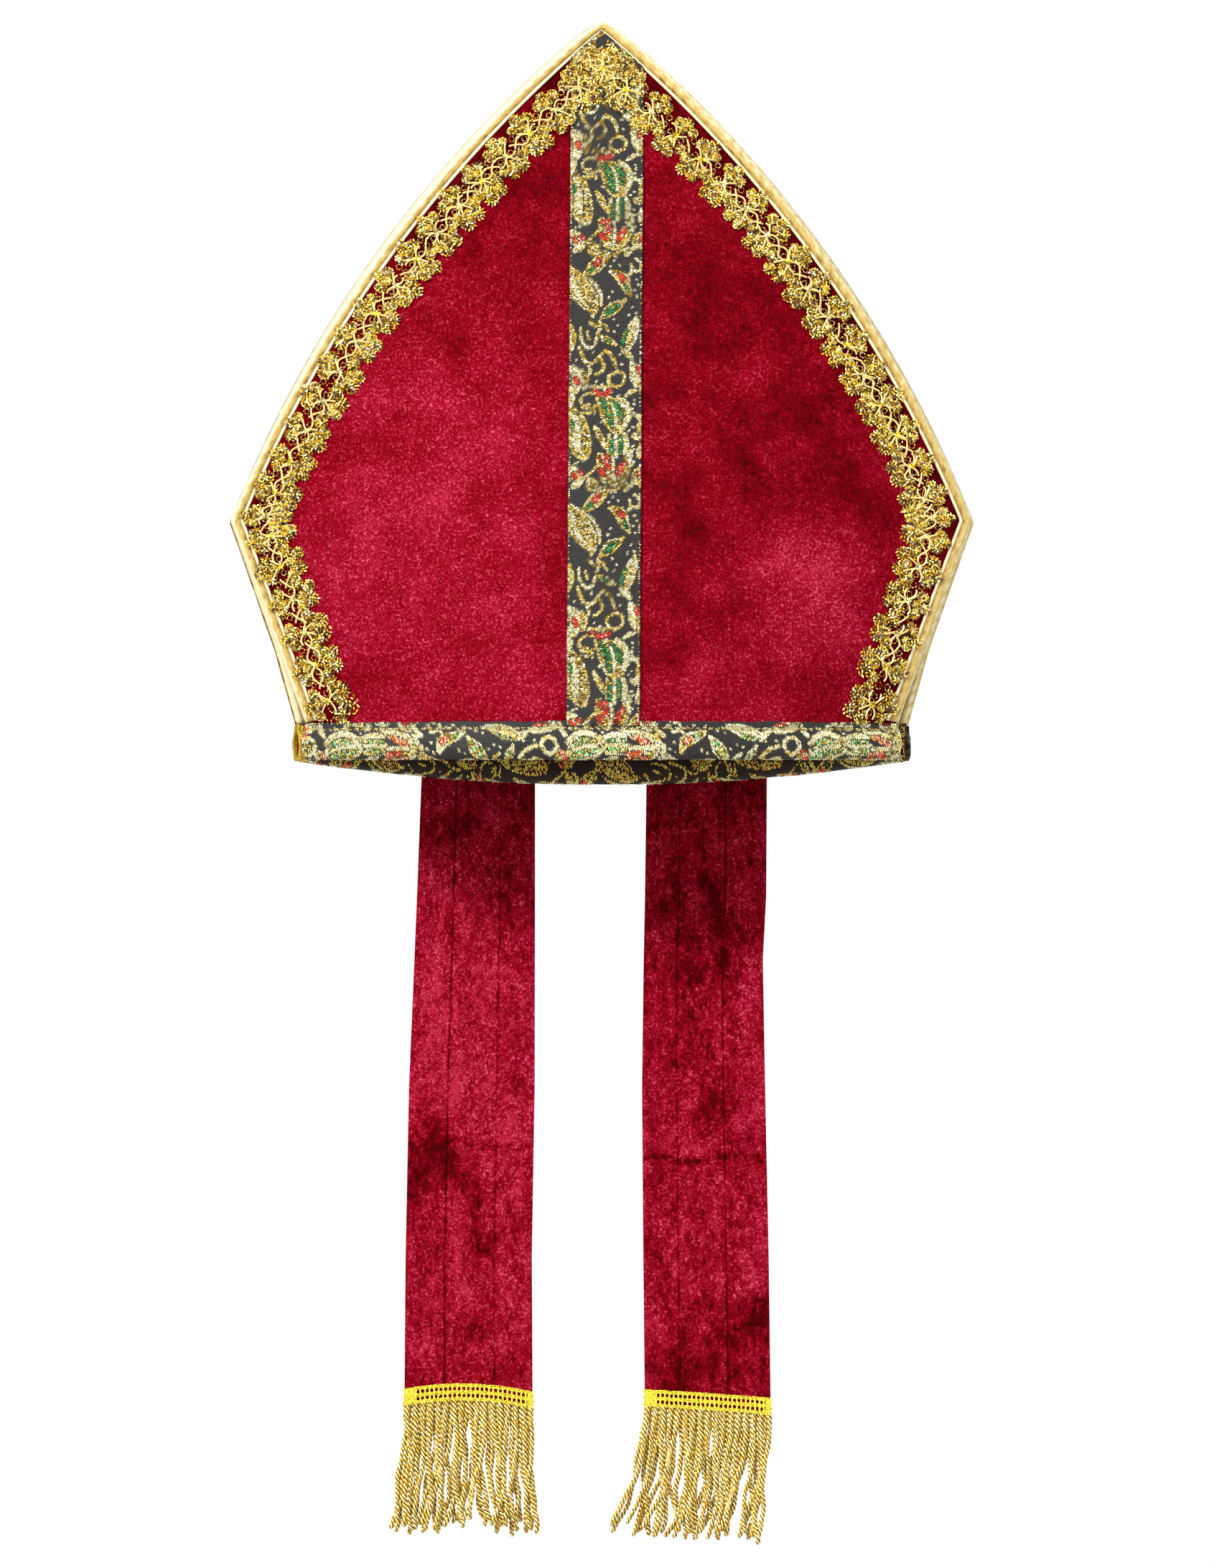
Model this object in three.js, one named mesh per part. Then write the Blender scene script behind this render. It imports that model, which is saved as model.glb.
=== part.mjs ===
// A bishop's mitre: two stiffened velvet panels with bound edges, joined down their
// sides, a brocade band folded over the rim, an upright brocade ribbon and two runs of
// gold lace on the front, and two fringed lappets sewn to the back of the band.
//
// Millimetres, +Z up, the front faces -Y and +X is the wearer's left.  The origin is the
// middle of the head opening, level with the side ends of the rim.
import * as THREE from "three";

// Driving dimensions
const APEX_HEIGHT = 345.2; // rim ends to the tip of the front panel
const CORNER_HEIGHT = 111; // rim ends to the side corners, where the panels part
const CORNER_HALF_WIDTH = 173.4;
const RIM_DEPTH = 42; // middle of the rim to the plane between the panels
const APEX_DEPTH = 7; // the same at the tip
const RIM_DIP = 5.5; // how far the middle of the rim hangs below its ends
const SEAM_DEPTH = 2.4; // panel mid-surface to the plane between the panels, at the side seams
const PANEL_THICKNESS = 2; // velvet on stiffened facing
const GAP = 0.3; // clearance between pieces that are sewn to each other
const BINDING_WIDTH = 6;
const BINDING_WALL = 1;
const BAND_HEIGHT = 15.4;
const BAND_WALL = 1.2;
const RIBBON_WIDTH = 34;
const RIBBON_THICKNESS = 0.8;
const RIBBON_FOOT_X = 0.6; // the ribbon leans a little: its middle at the band
const RIBBON_HEAD_X = 2.8; // and at the tip
const LACE_WIDTH = 24.5;
const LACE_THICKNESS = 1.2;
const LACE_PITCH = 16.8; // one motif along the edge
const LACE_SCALLOP = 4; // depth of the hollows between the motifs
const LAPPET_THICKNESS = 2.4; // two layers of velvet
const LAPPET_TOP = 9; // sewn end, on the outside of the back band
const LAPPET_END = -296;
const HEADER_THICKNESS = 1.4;
const HEADER_HEIGHT = 7.8;
const HEADER_TOP = -291.7;
const FRINGE_THICKNESS = 6;
const FRINGE_END = -362;

// The outline of each panel with its binding: half widths of the side edge from the rim
// up to the corner, then an edge that bows out by edgeBow and aims at meetingHeight, and a
// rounded tip a little lower.
const FRONT = {
  facing: -1,
  apexHeight: APEX_HEIGHT,
  meetingHeight: APEX_HEIGHT + 3.3,
  edgeBow: 17.5,
  sides: [
    { height: 0, halfWidth: 138 },
    { height: BAND_HEIGHT, halfWidth: 138 },
    { height: CORNER_HEIGHT, halfWidth: CORNER_HALF_WIDTH },
  ],
};
const BACK = {
  facing: 1,
  apexHeight: APEX_HEIGHT + 2,
  meetingHeight: APEX_HEIGHT + 6.8,
  edgeBow: 20,
  sides: [
    { height: 0, halfWidth: 142.8 },
    { height: BAND_HEIGHT, halfWidth: 142.8 },
    { height: 50, halfWidth: 152.6 },
    { height: CORNER_HEIGHT, halfWidth: CORNER_HALF_WIDTH + 0.4 },
  ],
};

// The two lappets: where their inner and outer edges hang, at the rim, half way down and
// at the end, and how far the fringe spreads at its foot.
const LEFT_LAPPET = {
  name: "left",
  edges: [
    { z: LAPPET_TOP, from: -83.8, to: -31.2 },
    { z: -150, from: -90.1, to: -31.3 },
    { z: LAPPET_END, from: -92.1, to: -32.2 },
  ],
  fringeFoot: { from: -99, to: -30 },
};
const RIGHT_LAPPET = {
  name: "right",
  edges: [
    { z: LAPPET_TOP, from: 21.1, to: 77.4 },
    { z: -150, from: 18.8, to: 76.4 },
    { z: LAPPET_END, from: 20.1, to: 78.9 },
  ],
  fringeFoot: { from: 5, to: 77 },
};

// Finishes
const velvet = () => new THREE.MeshStandardMaterial({ color: 0x9c1030, roughness: 0.85 });
const satin = () => new THREE.MeshStandardMaterial({ color: 0xdcb968, roughness: 0.35, metalness: 0.3 });
const brocade = () => new THREE.MeshStandardMaterial({ color: 0x6f6a3c, roughness: 0.5, metalness: 0.3 });
const goldLace = () => new THREE.MeshStandardMaterial({ color: 0xc9a040, roughness: 0.35, metalness: 0.6 });
const crochet = () => new THREE.MeshStandardMaterial({ color: 0xe8d21a, roughness: 0.6 });
const bullion = () => new THREE.MeshStandardMaterial({ color: 0xd9ab4c, roughness: 0.4, metalness: 0.4 });

const lerp = THREE.MathUtils.lerp;
const smoothstep = THREE.MathUtils.smoothstep;

// The value of one column of a table at a place between its rows, row to row in straight
// lines, held constant past the ends.
function interpolate(rows, key, at, column) {
  const sorted = [...rows].sort((a, b) => a[key] - b[key]);
  if (at <= sorted[0][key]) return sorted[0][column];
  for (let i = 1; i < sorted.length; i++) {
    const low = sorted[i - 1];
    const high = sorted[i];
    if (at <= high[key]) {
      return lerp(low[column], high[column], (at - low[key]) / (high[key] - low[key]));
    }
  }
  return sorted.at(-1)[column];
}

// A point on or beside a panel.  A panel is a sheet over the plane of x and height: its
// distance from the plane between the panels is depth - curve * x * x.  The middle line
// runs straight from RIM_DEPTH to APEX_DEPTH.  Up to the corners the curve keeps the side
// edge at SEAM_DEPTH, and above them it flattens out, so that the edges part.
const FLATTENING = 60; // height over which the panels flatten above the corners
const TOP_CURVE = 0.00051; // curve, per mm, that they approach

function panelDepth(panel, x, height) {
  const middle = (h) => lerp(RIM_DEPTH, APEX_DEPTH, h / APEX_HEIGHT);
  const seamCurve = (h) =>
    (middle(h) - SEAM_DEPTH) / interpolate(panel.sides, "height", h, "halfWidth") ** 2;
  const above = Math.max(0, height - CORNER_HEIGHT);
  const curve = lerp(
    TOP_CURVE,
    seamCurve(Math.min(height, CORNER_HEIGHT)),
    Math.exp(-above / FLATTENING),
  );
  return middle(height) - curve * x * x;
}

function sheetPoint(panel, x, height) {
  const rimHalfWidth = panel.sides[0].halfWidth;
  const dip = RIM_DIP * (1 - (x / rimHalfWidth) ** 2) * Math.max(0, 1 - height / CORNER_HEIGHT);
  return new THREE.Vector3(x, panel.facing * panelDepth(panel, x, height), height - dip);
}

// The same point moved off the sheet along its normal: offset is positive outwards.
function offSheet(panel, x, height, offset) {
  const step = 0.5;
  const across = sheetPoint(panel, x + step, height).sub(sheetPoint(panel, x - step, height));
  const up = sheetPoint(panel, x, height + step).sub(sheetPoint(panel, x, height - step));
  const normal = across.cross(up).normalize(); // points to -Y
  return sheetPoint(panel, x, height).addScaledVector(normal, -panel.facing * offset);
}

// The outline of a panel as points of x and height, from the rim up one side, over the
// tip and down the other.  The upper edges are arcs, cut off at the tip.
const OUTLINE_STEP = 17; // longest stretch between two points of the outline

function outline(panel) {
  const corner = new THREE.Vector2(panel.sides.at(-1).halfWidth, CORNER_HEIGHT);
  const meeting = new THREE.Vector2(0, panel.meetingHeight);
  const chord = meeting.clone().sub(corner);
  const outwards = new THREE.Vector2(chord.y, -chord.x).normalize();
  const radius = chord.lengthSq() / (8 * panel.edgeBow) + panel.edgeBow / 2;
  const sides = panel.sides.map((row) => new THREE.Vector2(row.halfWidth, row.height));
  const right = [sides[0]];
  for (const end of sides.slice(1)) {
    const start = right.at(-1);
    for (const part of evenParts(start.distanceTo(end))) right.push(start.clone().lerp(end, part));
  }
  for (const part of evenParts(chord.length())) {
    const reach = (part - 0.5) * chord.length();
    const bow = Math.sqrt(radius ** 2 - reach ** 2) - (radius - panel.edgeBow);
    right.push(corner.clone().addScaledVector(chord, part).addScaledVector(outwards, bow));
  }
  right.at(-1).y = panel.apexHeight;
  const left = right.slice(0, -1).map((p) => new THREE.Vector2(-p.x, p.y));
  return [...right, ...left.reverse()];
}

// The fractions at which a stretch is divided into equal parts of at most OUTLINE_STEP.
function evenParts(length) {
  const count = Math.ceil(length / OUTLINE_STEP);
  return Array.from({ length: count }, (_, i) => (i + 1) / count);
}

// The directions that lead inwards from the points of an outline, mitred: a step of 1
// along one moves both neighbouring edges in by 1.
function inwardMitres(points) {
  return points.map((point, i) => {
    const before = point.clone().sub(points[Math.max(i - 1, 0)]).normalize();
    const after = points[Math.min(i + 1, points.length - 1)].clone().sub(point).normalize();
    const a = i === 0 ? after : before;
    const b = i === points.length - 1 ? before : after;
    const inward = new THREE.Vector2(-a.y - b.y, a.x + b.x).normalize();
    return inward.divideScalar(inward.dot(new THREE.Vector2(-a.y, a.x)));
  });
}

// A closed body lofted through rings: the section is a closed outline of (u, v) pairs, and
// each placement puts it in space.  A section runs out along one face and back along the
// other, so each end is capped by a row of quads between the two faces.
function loft(section, placements) {
  const positions = placements.flatMap((place) =>
    section.flatMap(([u, v]) => place(u, v).toArray()),
  );
  const count = section.length;
  const index = [];
  for (let ring = 0; ring < placements.length - 1; ring++) {
    for (let i = 0; i < count; i++) {
      const a = ring * count + i;
      const b = ring * count + ((i + 1) % count);
      index.push(a, b, b + count, a, b + count, a + count);
    }
  }
  const last = (placements.length - 1) * count;
  for (let i = 0; i < count / 2 - 1; i++) {
    const [a, b, c, d] = [i, i + 1, count - 2 - i, count - 1 - i];
    index.push(c, b, a, d, c, a);
    index.push(last + a, last + b, last + c, last + a, last + c, last + d);
  }
  const geometry = new THREE.BufferGeometry();
  geometry.setAttribute("position", new THREE.Float32BufferAttribute(positions, 3));
  geometry.setIndex(signedVolume(positions, index) < 0 ? index.reverse() : index);
  geometry.computeVertexNormals();
  return geometry;
}

// Six times the volume inside a mesh, negative when its faces point inwards.
function signedVolume(positions, index) {
  const corner = (i) => new THREE.Vector3().fromArray(positions, 3 * i);
  let volume = 0;
  for (let i = 0; i < index.length; i += 3) {
    volume += corner(index[i]).dot(corner(index[i + 1]).cross(corner(index[i + 2])));
  }
  return volume;
}

// The section of a flat strip: steps across in u from 0 to 1, and v = 0 or 1 on its faces.
function stripSection(steps) {
  const across = Array.from({ length: steps + 1 }, (_, i) => i / steps);
  return [...across.map((u) => [u, 0]), ...across.reverse().map((u) => [u, 1])];
}

// The section of a channel folded over an edge: an open box with a long leaf on each face.
// u runs inwards from the edge of the sheet, v is the offset from its middle.
function channelSection(depth, wall) {
  const inside = PANEL_THICKNESS / 2 + GAP;
  const outside = inside + wall;
  const web = -GAP;
  return [
    [depth, outside],
    [web - wall, outside],
    [web - wall, -outside],
    [depth, -outside],
    [depth, -inside],
    [web, -inside],
    [web, inside],
    [depth, inside],
  ];
}

function named(name, geometry, material) {
  const mesh = new THREE.Mesh(geometry, material);
  mesh.name = name;
  return mesh;
}

// Panel: a curved sheet whose edge lies inside the channel of its binding.
const PANEL_COLUMNS = 16;
const TIP_HALF_WIDTH = 1.2; // the tip of the sheet is cut blunt

function panelGeometry(panel) {
  const inset = GAP + BINDING_WALL;
  const points = outline(panel);
  const mitres = inwardMitres(points);
  const half = points.slice(0, (points.length + 1) / 2);
  const rows = half.map((p, i) => p.clone().addScaledVector(mitres[i], inset));
  rows[0].y = 0;
  rows.at(-1).x = TIP_HALF_WIDTH;
  rows.at(-1).y -= TIP_HALF_WIDTH;
  const thickness = (v) => (v - 0.5) * PANEL_THICKNESS;
  return loft(
    stripSection(PANEL_COLUMNS),
    rows.map((row) => (u, v) => offSheet(panel, (2 * u - 1) * row.x, row.y, thickness(v))),
  );
}

// Binding: a satin channel over the side and top edges, from the band round to the band.
function bindingGeometry(panel) {
  const points = outline(panel).slice(1, -1);
  const mitres = inwardMitres(points);
  const foot = BAND_HEIGHT + GAP;
  points[0].y = foot;
  points.at(-1).y = foot;
  mitres[0].y = 0;
  mitres.at(-1).y = 0;
  return loft(
    channelSection(BINDING_WIDTH - BINDING_WALL - GAP, BINDING_WALL),
    points.map((p, i) => (u, v) => {
      const inward = u + GAP + BINDING_WALL;
      return offSheet(panel, p.x + inward * mitres[i].x, p.y + inward * mitres[i].y, v);
    }),
  );
}

// Band: a brocade channel folded up over the rim, inside and out.
const BAND_STEPS = 28;

function bandGeometry(panel) {
  const halfWidth = panel.sides[0].halfWidth;
  const stations = Array.from({ length: BAND_STEPS + 1 }, (_, i) => i / BAND_STEPS);
  return loft(
    channelSection(BAND_HEIGHT, BAND_WALL),
    stations.map((s) => (u, v) => offSheet(panel, lerp(-halfWidth, halfWidth, s), u, v)),
  );
}

// Ribbon: a flat strip from the band to the binding at the tip, where it is cut to a point.
const RIBBON_STEPS = 16;
const RIBBON_COLUMNS = 6;

function ribbonGeometry(panel) {
  const inner = PANEL_THICKNESS / 2 + GAP;
  const foot = BAND_HEIGHT + GAP;
  const columns = Array.from({ length: RIBBON_COLUMNS + 1 }, (_, i) => i / RIBBON_COLUMNS - 0.5);
  return loft(
    stripSection(RIBBON_STEPS),
    columns.map((across) => {
      const headX = RIBBON_HEAD_X + across * RIBBON_WIDTH;
      const footX = RIBBON_FOOT_X + across * RIBBON_WIDTH;
      const head = edgeHeight(panel, headX, BINDING_WIDTH + GAP);
      return (u, v) =>
        offSheet(panel, lerp(footX, headX, u), lerp(foot, head, u), inner + v * RIBBON_THICKNESS);
    }),
  );
}

// The height at which the upper edge, moved inwards by a distance, stands above x.
function edgeHeight(panel, x, inward) {
  const points = outline(panel);
  const mitres = inwardMitres(points);
  const moved = points.map((p, i) => p.clone().addScaledVector(mitres[i], inward));
  const rows = moved
    .filter((p) => p.y > CORNER_HEIGHT)
    .map((p) => ({ x: p.x, height: p.y }));
  return interpolate(rows, "x", x, "height");
}

// Lace: a scalloped strip beside the binding, from the band up over the corner to the
// tip, where the left and right runs meet.  It rides over the ribbon.
const LACE_STEPS_PER_MOTIF = 4;
const LACE_COLUMNS = 2;
const RIDE_FULL = 24; // |x| within which the lace lies on the ribbon
const RIDE_NONE = 30;

function laceGeometry(panel, side) {
  const points = outline(panel);
  const mitres = inwardMitres(points);
  const half = (points.length + 1) / 2;
  mitres[1].y = 0; // the lower end lies along the band
  const route = new PolylineRoute(points.slice(1, half), mitres.slice(1, half));
  const motifs = Math.round(route.length / LACE_PITCH);
  const steps = motifs * LACE_STEPS_PER_MOTIF;
  const stations = Array.from({ length: steps + 1 }, (_, i) => i / steps);
  const inner = PANEL_THICKNESS / 2 + GAP;
  const bandTop = BAND_HEIGHT + GAP;
  return loft(
    stripSection(LACE_COLUMNS),
    stations.map((s) => {
      const { point, mitre } = route.at(s);
      const hollow = LACE_SCALLOP * Math.cos(Math.PI * motifs * s) ** 2;
      return (u, v) => {
        const inward = BINDING_WIDTH + GAP + u * (LACE_WIDTH - hollow);
        const x = Math.max(GAP / 2, point.x + inward * mitre.x);
        const height = Math.max(bandTop, point.y + inward * mitre.y);
        const ride = smoothstep(RIDE_NONE - x, 0, RIDE_NONE - RIDE_FULL) * (RIBBON_THICKNESS + GAP);
        return offSheet(panel, side * x, height, inner + ride + v * LACE_THICKNESS);
      };
    }),
  );
}

// A route along a polyline with a direction at each of its points, both blended evenly
// between them, addressed by the fraction of its length.
class PolylineRoute {
  constructor(points, mitres) {
    this.points = points;
    this.mitres = mitres;
    this.reach = [0];
    for (let i = 1; i < points.length; i++) {
      this.reach.push(this.reach[i - 1] + points[i].distanceTo(points[i - 1]));
    }
    this.length = this.reach.at(-1);
  }

  at(fraction) {
    const want = fraction * this.length;
    const found = this.reach.findIndex((reach) => reach >= want - 1e-9);
    const i = Math.max(1, found);
    const part = (want - this.reach[i - 1]) / (this.reach[i] - this.reach[i - 1]);
    return {
      point: this.points[i - 1].clone().lerp(this.points[i], part),
      mitre: this.mitres[i - 1].clone().lerp(this.mitres[i], part),
    };
  }
}

// Where a lappet hangs: at the top it lies against the outside of the back band, and below
// the rim it straightens into a flat strap.
const STRAIGHTENING = 110; // length over which it flattens below the rim

function lappetY(edges, x, z) {
  const bandFace = PANEL_THICKNESS / 2 + GAP + BAND_WALL;
  const hang = bandFace + GAP + LAPPET_THICKNESS / 2;
  const middle = (edges[0].from + edges[0].to) / 2;
  const onBand = (at) => panelDepth(BACK, at, 0) + hang / Math.cos(bandSlope(at));
  const flatness = smoothstep(-z, 2 * BAND_WALL, STRAIGHTENING);
  return lerp(onBand(x), onBand(middle), flatness);
}

// The angle between the back band and the plane between the panels, in plan, at x.
function bandSlope(x) {
  return Math.atan(panelDepth(BACK, x + 0.5, 0) - panelDepth(BACK, x - 0.5, 0));
}

const LAPPET_ROWS = [LAPPET_TOP, 0, -12, -30, -60, -90, -120, -180, -240, LAPPET_END];
const LAPPET_COLUMNS = 6;

function lappetGeometry(lappet) {
  return loft(
    stripSection(LAPPET_COLUMNS),
    LAPPET_ROWS.map((z) => (u, v) => {
      const from = interpolate(lappet.edges, "z", z, "from");
      const to = interpolate(lappet.edges, "z", z, "to");
      const x = lerp(from, to, u);
      return new THREE.Vector3(x, lappetY(lappet.edges, x, z) + (v - 0.5) * LAPPET_THICKNESS, z);
    }),
  );
}

// The face of the lappet's end that looks forward, where the header is sewn.
function headerBack(lappet) {
  return lappetY(lappet.edges, 0, LAPPET_END) - LAPPET_THICKNESS / 2 - GAP;
}

function headerGeometry(lappet) {
  const end = lappet.edges.at(-1);
  const back = headerBack(lappet);
  const geometry = new THREE.BoxGeometry(end.to - end.from, HEADER_THICKNESS, HEADER_HEIGHT);
  return geometry.translate(
    (end.from + end.to) / 2,
    back - HEADER_THICKNESS / 2,
    HEADER_TOP - HEADER_HEIGHT / 2,
  );
}

// Fringe: the outer form of the hanging strands, flaring to its foot.
const FRINGE_ROWS = [
  { down: 0, flare: 0, thickness: 0.45 },
  { down: 0.25, flare: 0.1, thickness: 0.9 },
  { down: 0.6, flare: 0.5, thickness: 1 },
  { down: 1, flare: 1, thickness: 0.8 },
];

function fringeGeometry(lappet) {
  const end = lappet.edges.at(-1);
  const top = HEADER_TOP - HEADER_HEIGHT - GAP;
  const middle = headerBack(lappet) - HEADER_THICKNESS / 2;
  return loft(
    stripSection(4),
    FRINGE_ROWS.map((row) => (u, v) => {
      const from = lerp(end.from, lappet.fringeFoot.from, row.flare);
      const to = lerp(end.to, lappet.fringeFoot.to, row.flare);
      const y = middle + (v - 0.5) * FRINGE_THICKNESS * row.thickness;
      return new THREE.Vector3(lerp(from, to, u), y, lerp(top, FRINGE_END, row.down));
    }),
  );
}

const mitre = new THREE.Group();
for (const [name, panel] of Object.entries({ front: FRONT, back: BACK })) {
  mitre.add(named(`${name}_panel`, panelGeometry(panel), velvet()));
  mitre.add(named(`${name}_binding`, bindingGeometry(panel), satin()));
  mitre.add(named(`${name}_band`, bandGeometry(panel), brocade()));
}
mitre.add(named("centre_ribbon", ribbonGeometry(FRONT), brocade()));
mitre.add(named("left_lace", laceGeometry(FRONT, -1), goldLace()));
mitre.add(named("right_lace", laceGeometry(FRONT, 1), goldLace()));
for (const lappet of [LEFT_LAPPET, RIGHT_LAPPET]) {
  mitre.add(named(`${lappet.name}_lappet`, lappetGeometry(lappet), velvet()));
  mitre.add(named(`${lappet.name}_fringe_header`, headerGeometry(lappet), crochet()));
  mitre.add(named(`${lappet.name}_fringe`, fringeGeometry(lappet), bullion()));
}

export default mitre;
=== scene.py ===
# %% [markdown]
# # A bishop's mitre in velvet, brocade and gold lace
#
# The mitre is sewn, not carved: two stiffened velvet panels, satin bindings over their
# edges, brocade ribbon round the rim and up the front, a run of gold lace on either side,
# and two fringed lappets that hang behind. This lesson makes each of those as its own
# piece of mesh, in the order in which they are sewn on.
#
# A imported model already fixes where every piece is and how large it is. It is loaded
# first, so that each new surface can be laid on the place of the plain solid it stands for.

# %% Load the fixed frame
import math

import bpy
import numpy as np
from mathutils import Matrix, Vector


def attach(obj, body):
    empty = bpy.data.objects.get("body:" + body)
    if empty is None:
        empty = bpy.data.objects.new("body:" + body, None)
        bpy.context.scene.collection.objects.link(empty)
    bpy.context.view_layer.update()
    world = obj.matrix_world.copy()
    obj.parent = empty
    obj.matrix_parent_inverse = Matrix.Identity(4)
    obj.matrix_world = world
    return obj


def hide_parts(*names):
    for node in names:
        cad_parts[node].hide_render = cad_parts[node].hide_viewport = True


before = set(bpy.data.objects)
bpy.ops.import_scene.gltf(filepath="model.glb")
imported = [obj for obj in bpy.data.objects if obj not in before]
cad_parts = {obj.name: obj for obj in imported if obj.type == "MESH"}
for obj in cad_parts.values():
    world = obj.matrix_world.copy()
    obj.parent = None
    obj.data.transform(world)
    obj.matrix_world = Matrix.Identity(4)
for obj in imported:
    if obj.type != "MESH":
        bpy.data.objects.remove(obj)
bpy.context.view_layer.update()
MM = 0.001
print("pieces in the frame:", sorted(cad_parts))

# %% [markdown]
# ## A shorthand for shader nodes
#
# Materials and the surroundings are both made of nodes. These few helpers let a node be
# written in one line, with its settings and whatever feeds it.

# %% Nodes in one line
def feed(tree, node, inputs):
    """Sets each named or numbered input of a node to a constant, or links a socket to it."""
    for key, value in inputs.items():
        if isinstance(value, bpy.types.NodeSocket):
            tree.links.new(value, node.inputs[key])
        else:
            node.inputs[key].default_value = value
    return node


def add(tree, kind, inputs, **settings):
    """New shader node with its settings made and its inputs fed."""
    node = tree.nodes.new("ShaderNode" + kind)
    for key, value in settings.items():
        setattr(node, key, value)
    return feed(tree, node, inputs)


def mix_colours(tree, share, first, second, how="MIX"):
    """Two colours mixed: the first where share is 0, the second over it where share is 1."""
    node = add(tree, "Mix", {0: share, 6: first, 7: second}, data_type="RGBA", blend_type=how)
    return node.outputs[2]


def start_material(name, **finish):
    """New material, its node tree and its main shader with the finish's constants set."""
    material = bpy.data.materials.new(name)
    material.use_nodes = True
    tree = material.node_tree
    shader = tree.nodes["Principled BSDF"]
    feed(tree, shader, {key.replace("_", " "): value for key, value in finish.items()})
    return material, tree, shader


def tint(red, green, blue):
    """A colour as the screen shows it, 0 to 255, made linear for a shader."""
    shown = np.array([red, green, blue]) / 255
    linear = np.where(shown <= 0.04045, shown / 12.92, ((shown + 0.055) / 1.055) ** 2.4)
    return (*linear.tolist(), 1.0)


def noise(tree, place, size_mm, detail=2.0, roughness=0.5):
    """Noise value with features about size_mm across, around 0.5."""
    inputs = {"Vector": place, "Scale": 1 / (size_mm * MM), "Detail": detail, "Roughness": roughness}
    return add(tree, "TexNoise", inputs).outputs["Fac"]


def blend_in(tree, value, amount, start):
    """start plus amount times (value - 0.5)."""
    shifted = add(tree, "Math", {0: value, 1: 0.5}, operation="SUBTRACT").outputs[0]
    return add(tree, "Math", {0: shifted, 1: amount, 2: start}, operation="MULTIPLY_ADD").outputs[0]


def ramp(tree, value, stops):
    """Colour read off a scale of (place, colour) stops."""
    node = add(tree, "ValToRGB", {"Fac": value})
    scale = node.color_ramp
    scale.elements[0].position = stops[0][0]
    scale.elements[0].color = stops[0][1]
    scale.elements[1].position = stops[-1][0]
    scale.elements[1].color = stops[-1][1]
    for place, colour in stops[1:-1]:
        scale.elements.new(place).color = colour
    return node.outputs["Color"]


def painted(tree, name):
    """Attribute node that reads a painted value or colour."""
    return add(tree, "Attribute", {}, attribute_name=name)


def object_place(tree):
    """Object coordinates, in metres from the piece's own origin."""
    return add(tree, "TexCoord", {}).outputs["Object"]


print("node helpers ready")

# %% [markdown]
# ## The camera, the light and the floor
#
# Product pictures of a hat are taken from a long way off with a long lens, so that the
# flat front keeps its proportions. The camera here is twelve metres away, where lines that
# recede hardly converge. It looks slightly up from below the rim, which is why the inside
# of the back band shows under the front one. The backdrop is pure white, but what it throws
# back on the hat is weaker, so that one broad lamp from the upper left can give every
# thread a lit and a shaded side. A weaker lamp on the right and one behind keep the
# shadows open.

# %% Camera below the rim, looking slightly up
# Height of what the picture takes in, the film's long side, and the picture's middle.
PICTURE_HEIGHT_MM = 731.6
FILM_MM = 36
CAMERA_DISTANCE = 12.0
CAMERA_DROP = math.radians(8)
AIM = np.array([0.0013, 0.0, -0.0128])

camera_data = bpy.data.cameras.new("long lens")
camera_data.sensor_width = FILM_MM
camera_data.lens = FILM_MM * CAMERA_DISTANCE / (PICTURE_HEIGHT_MM * MM)
camera = bpy.data.objects.new("camera", camera_data)
away = np.array([0.0, -math.cos(CAMERA_DROP), -math.sin(CAMERA_DROP)])
camera.location = AIM + CAMERA_DISTANCE * away
camera.rotation_euler = (math.radians(90) + CAMERA_DROP, 0, 0)
bpy.context.scene.collection.objects.link(camera)
bpy.context.scene.camera = camera
print("lens, mm:", round(camera_data.lens, 1))

# %% White surroundings and soft lamps
# The backdrop is this bright for everything but the camera, which sees it at full white.
BACKDROP_LIGHT = 0.78
scene = bpy.context.scene
scene.view_settings.view_transform = "Standard"
world = bpy.data.worlds.new("light tent")
world.use_nodes = True
seen = add(world.node_tree, "LightPath", {}).outputs["Is Camera Ray"]
shares = {0: seen, 1: 1 - BACKDROP_LIGHT, 2: BACKDROP_LIGHT}
strength = add(world.node_tree, "Math", shares, operation="MULTIPLY_ADD").outputs[0]
backdrop = world.node_tree.nodes["Background"]
feed(world.node_tree, backdrop, {"Color": (1, 1, 1, 1), "Strength": strength})
scene.world = world


def soft_lamp(name, place, target, size, watts):
    """A square area lamp at place, turned to face target, both in metres."""
    data = bpy.data.lights.new(name, "AREA")
    data.size = size
    data.energy = watts
    lamp = bpy.data.objects.new(name, data)
    lamp.location = place
    direction = Vector(target) - Vector(place)
    lamp.rotation_euler = direction.to_track_quat("-Z", "Y").to_euler()
    scene.collection.objects.link(lamp)


soft_lamp("key lamp", (-1.5, -2.0, 1.9), (0, 0, 0), 0.8, 125)
soft_lamp("fill lamp", (2.0, -1.9, 0.5), (0, 0, -0.1), 1.4, 26)
soft_lamp("back lamp", (0.4, 2.2, 1.8), (0, 0, 0), 1.2, 44)
print("lamps:", len(bpy.data.lights))

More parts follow.
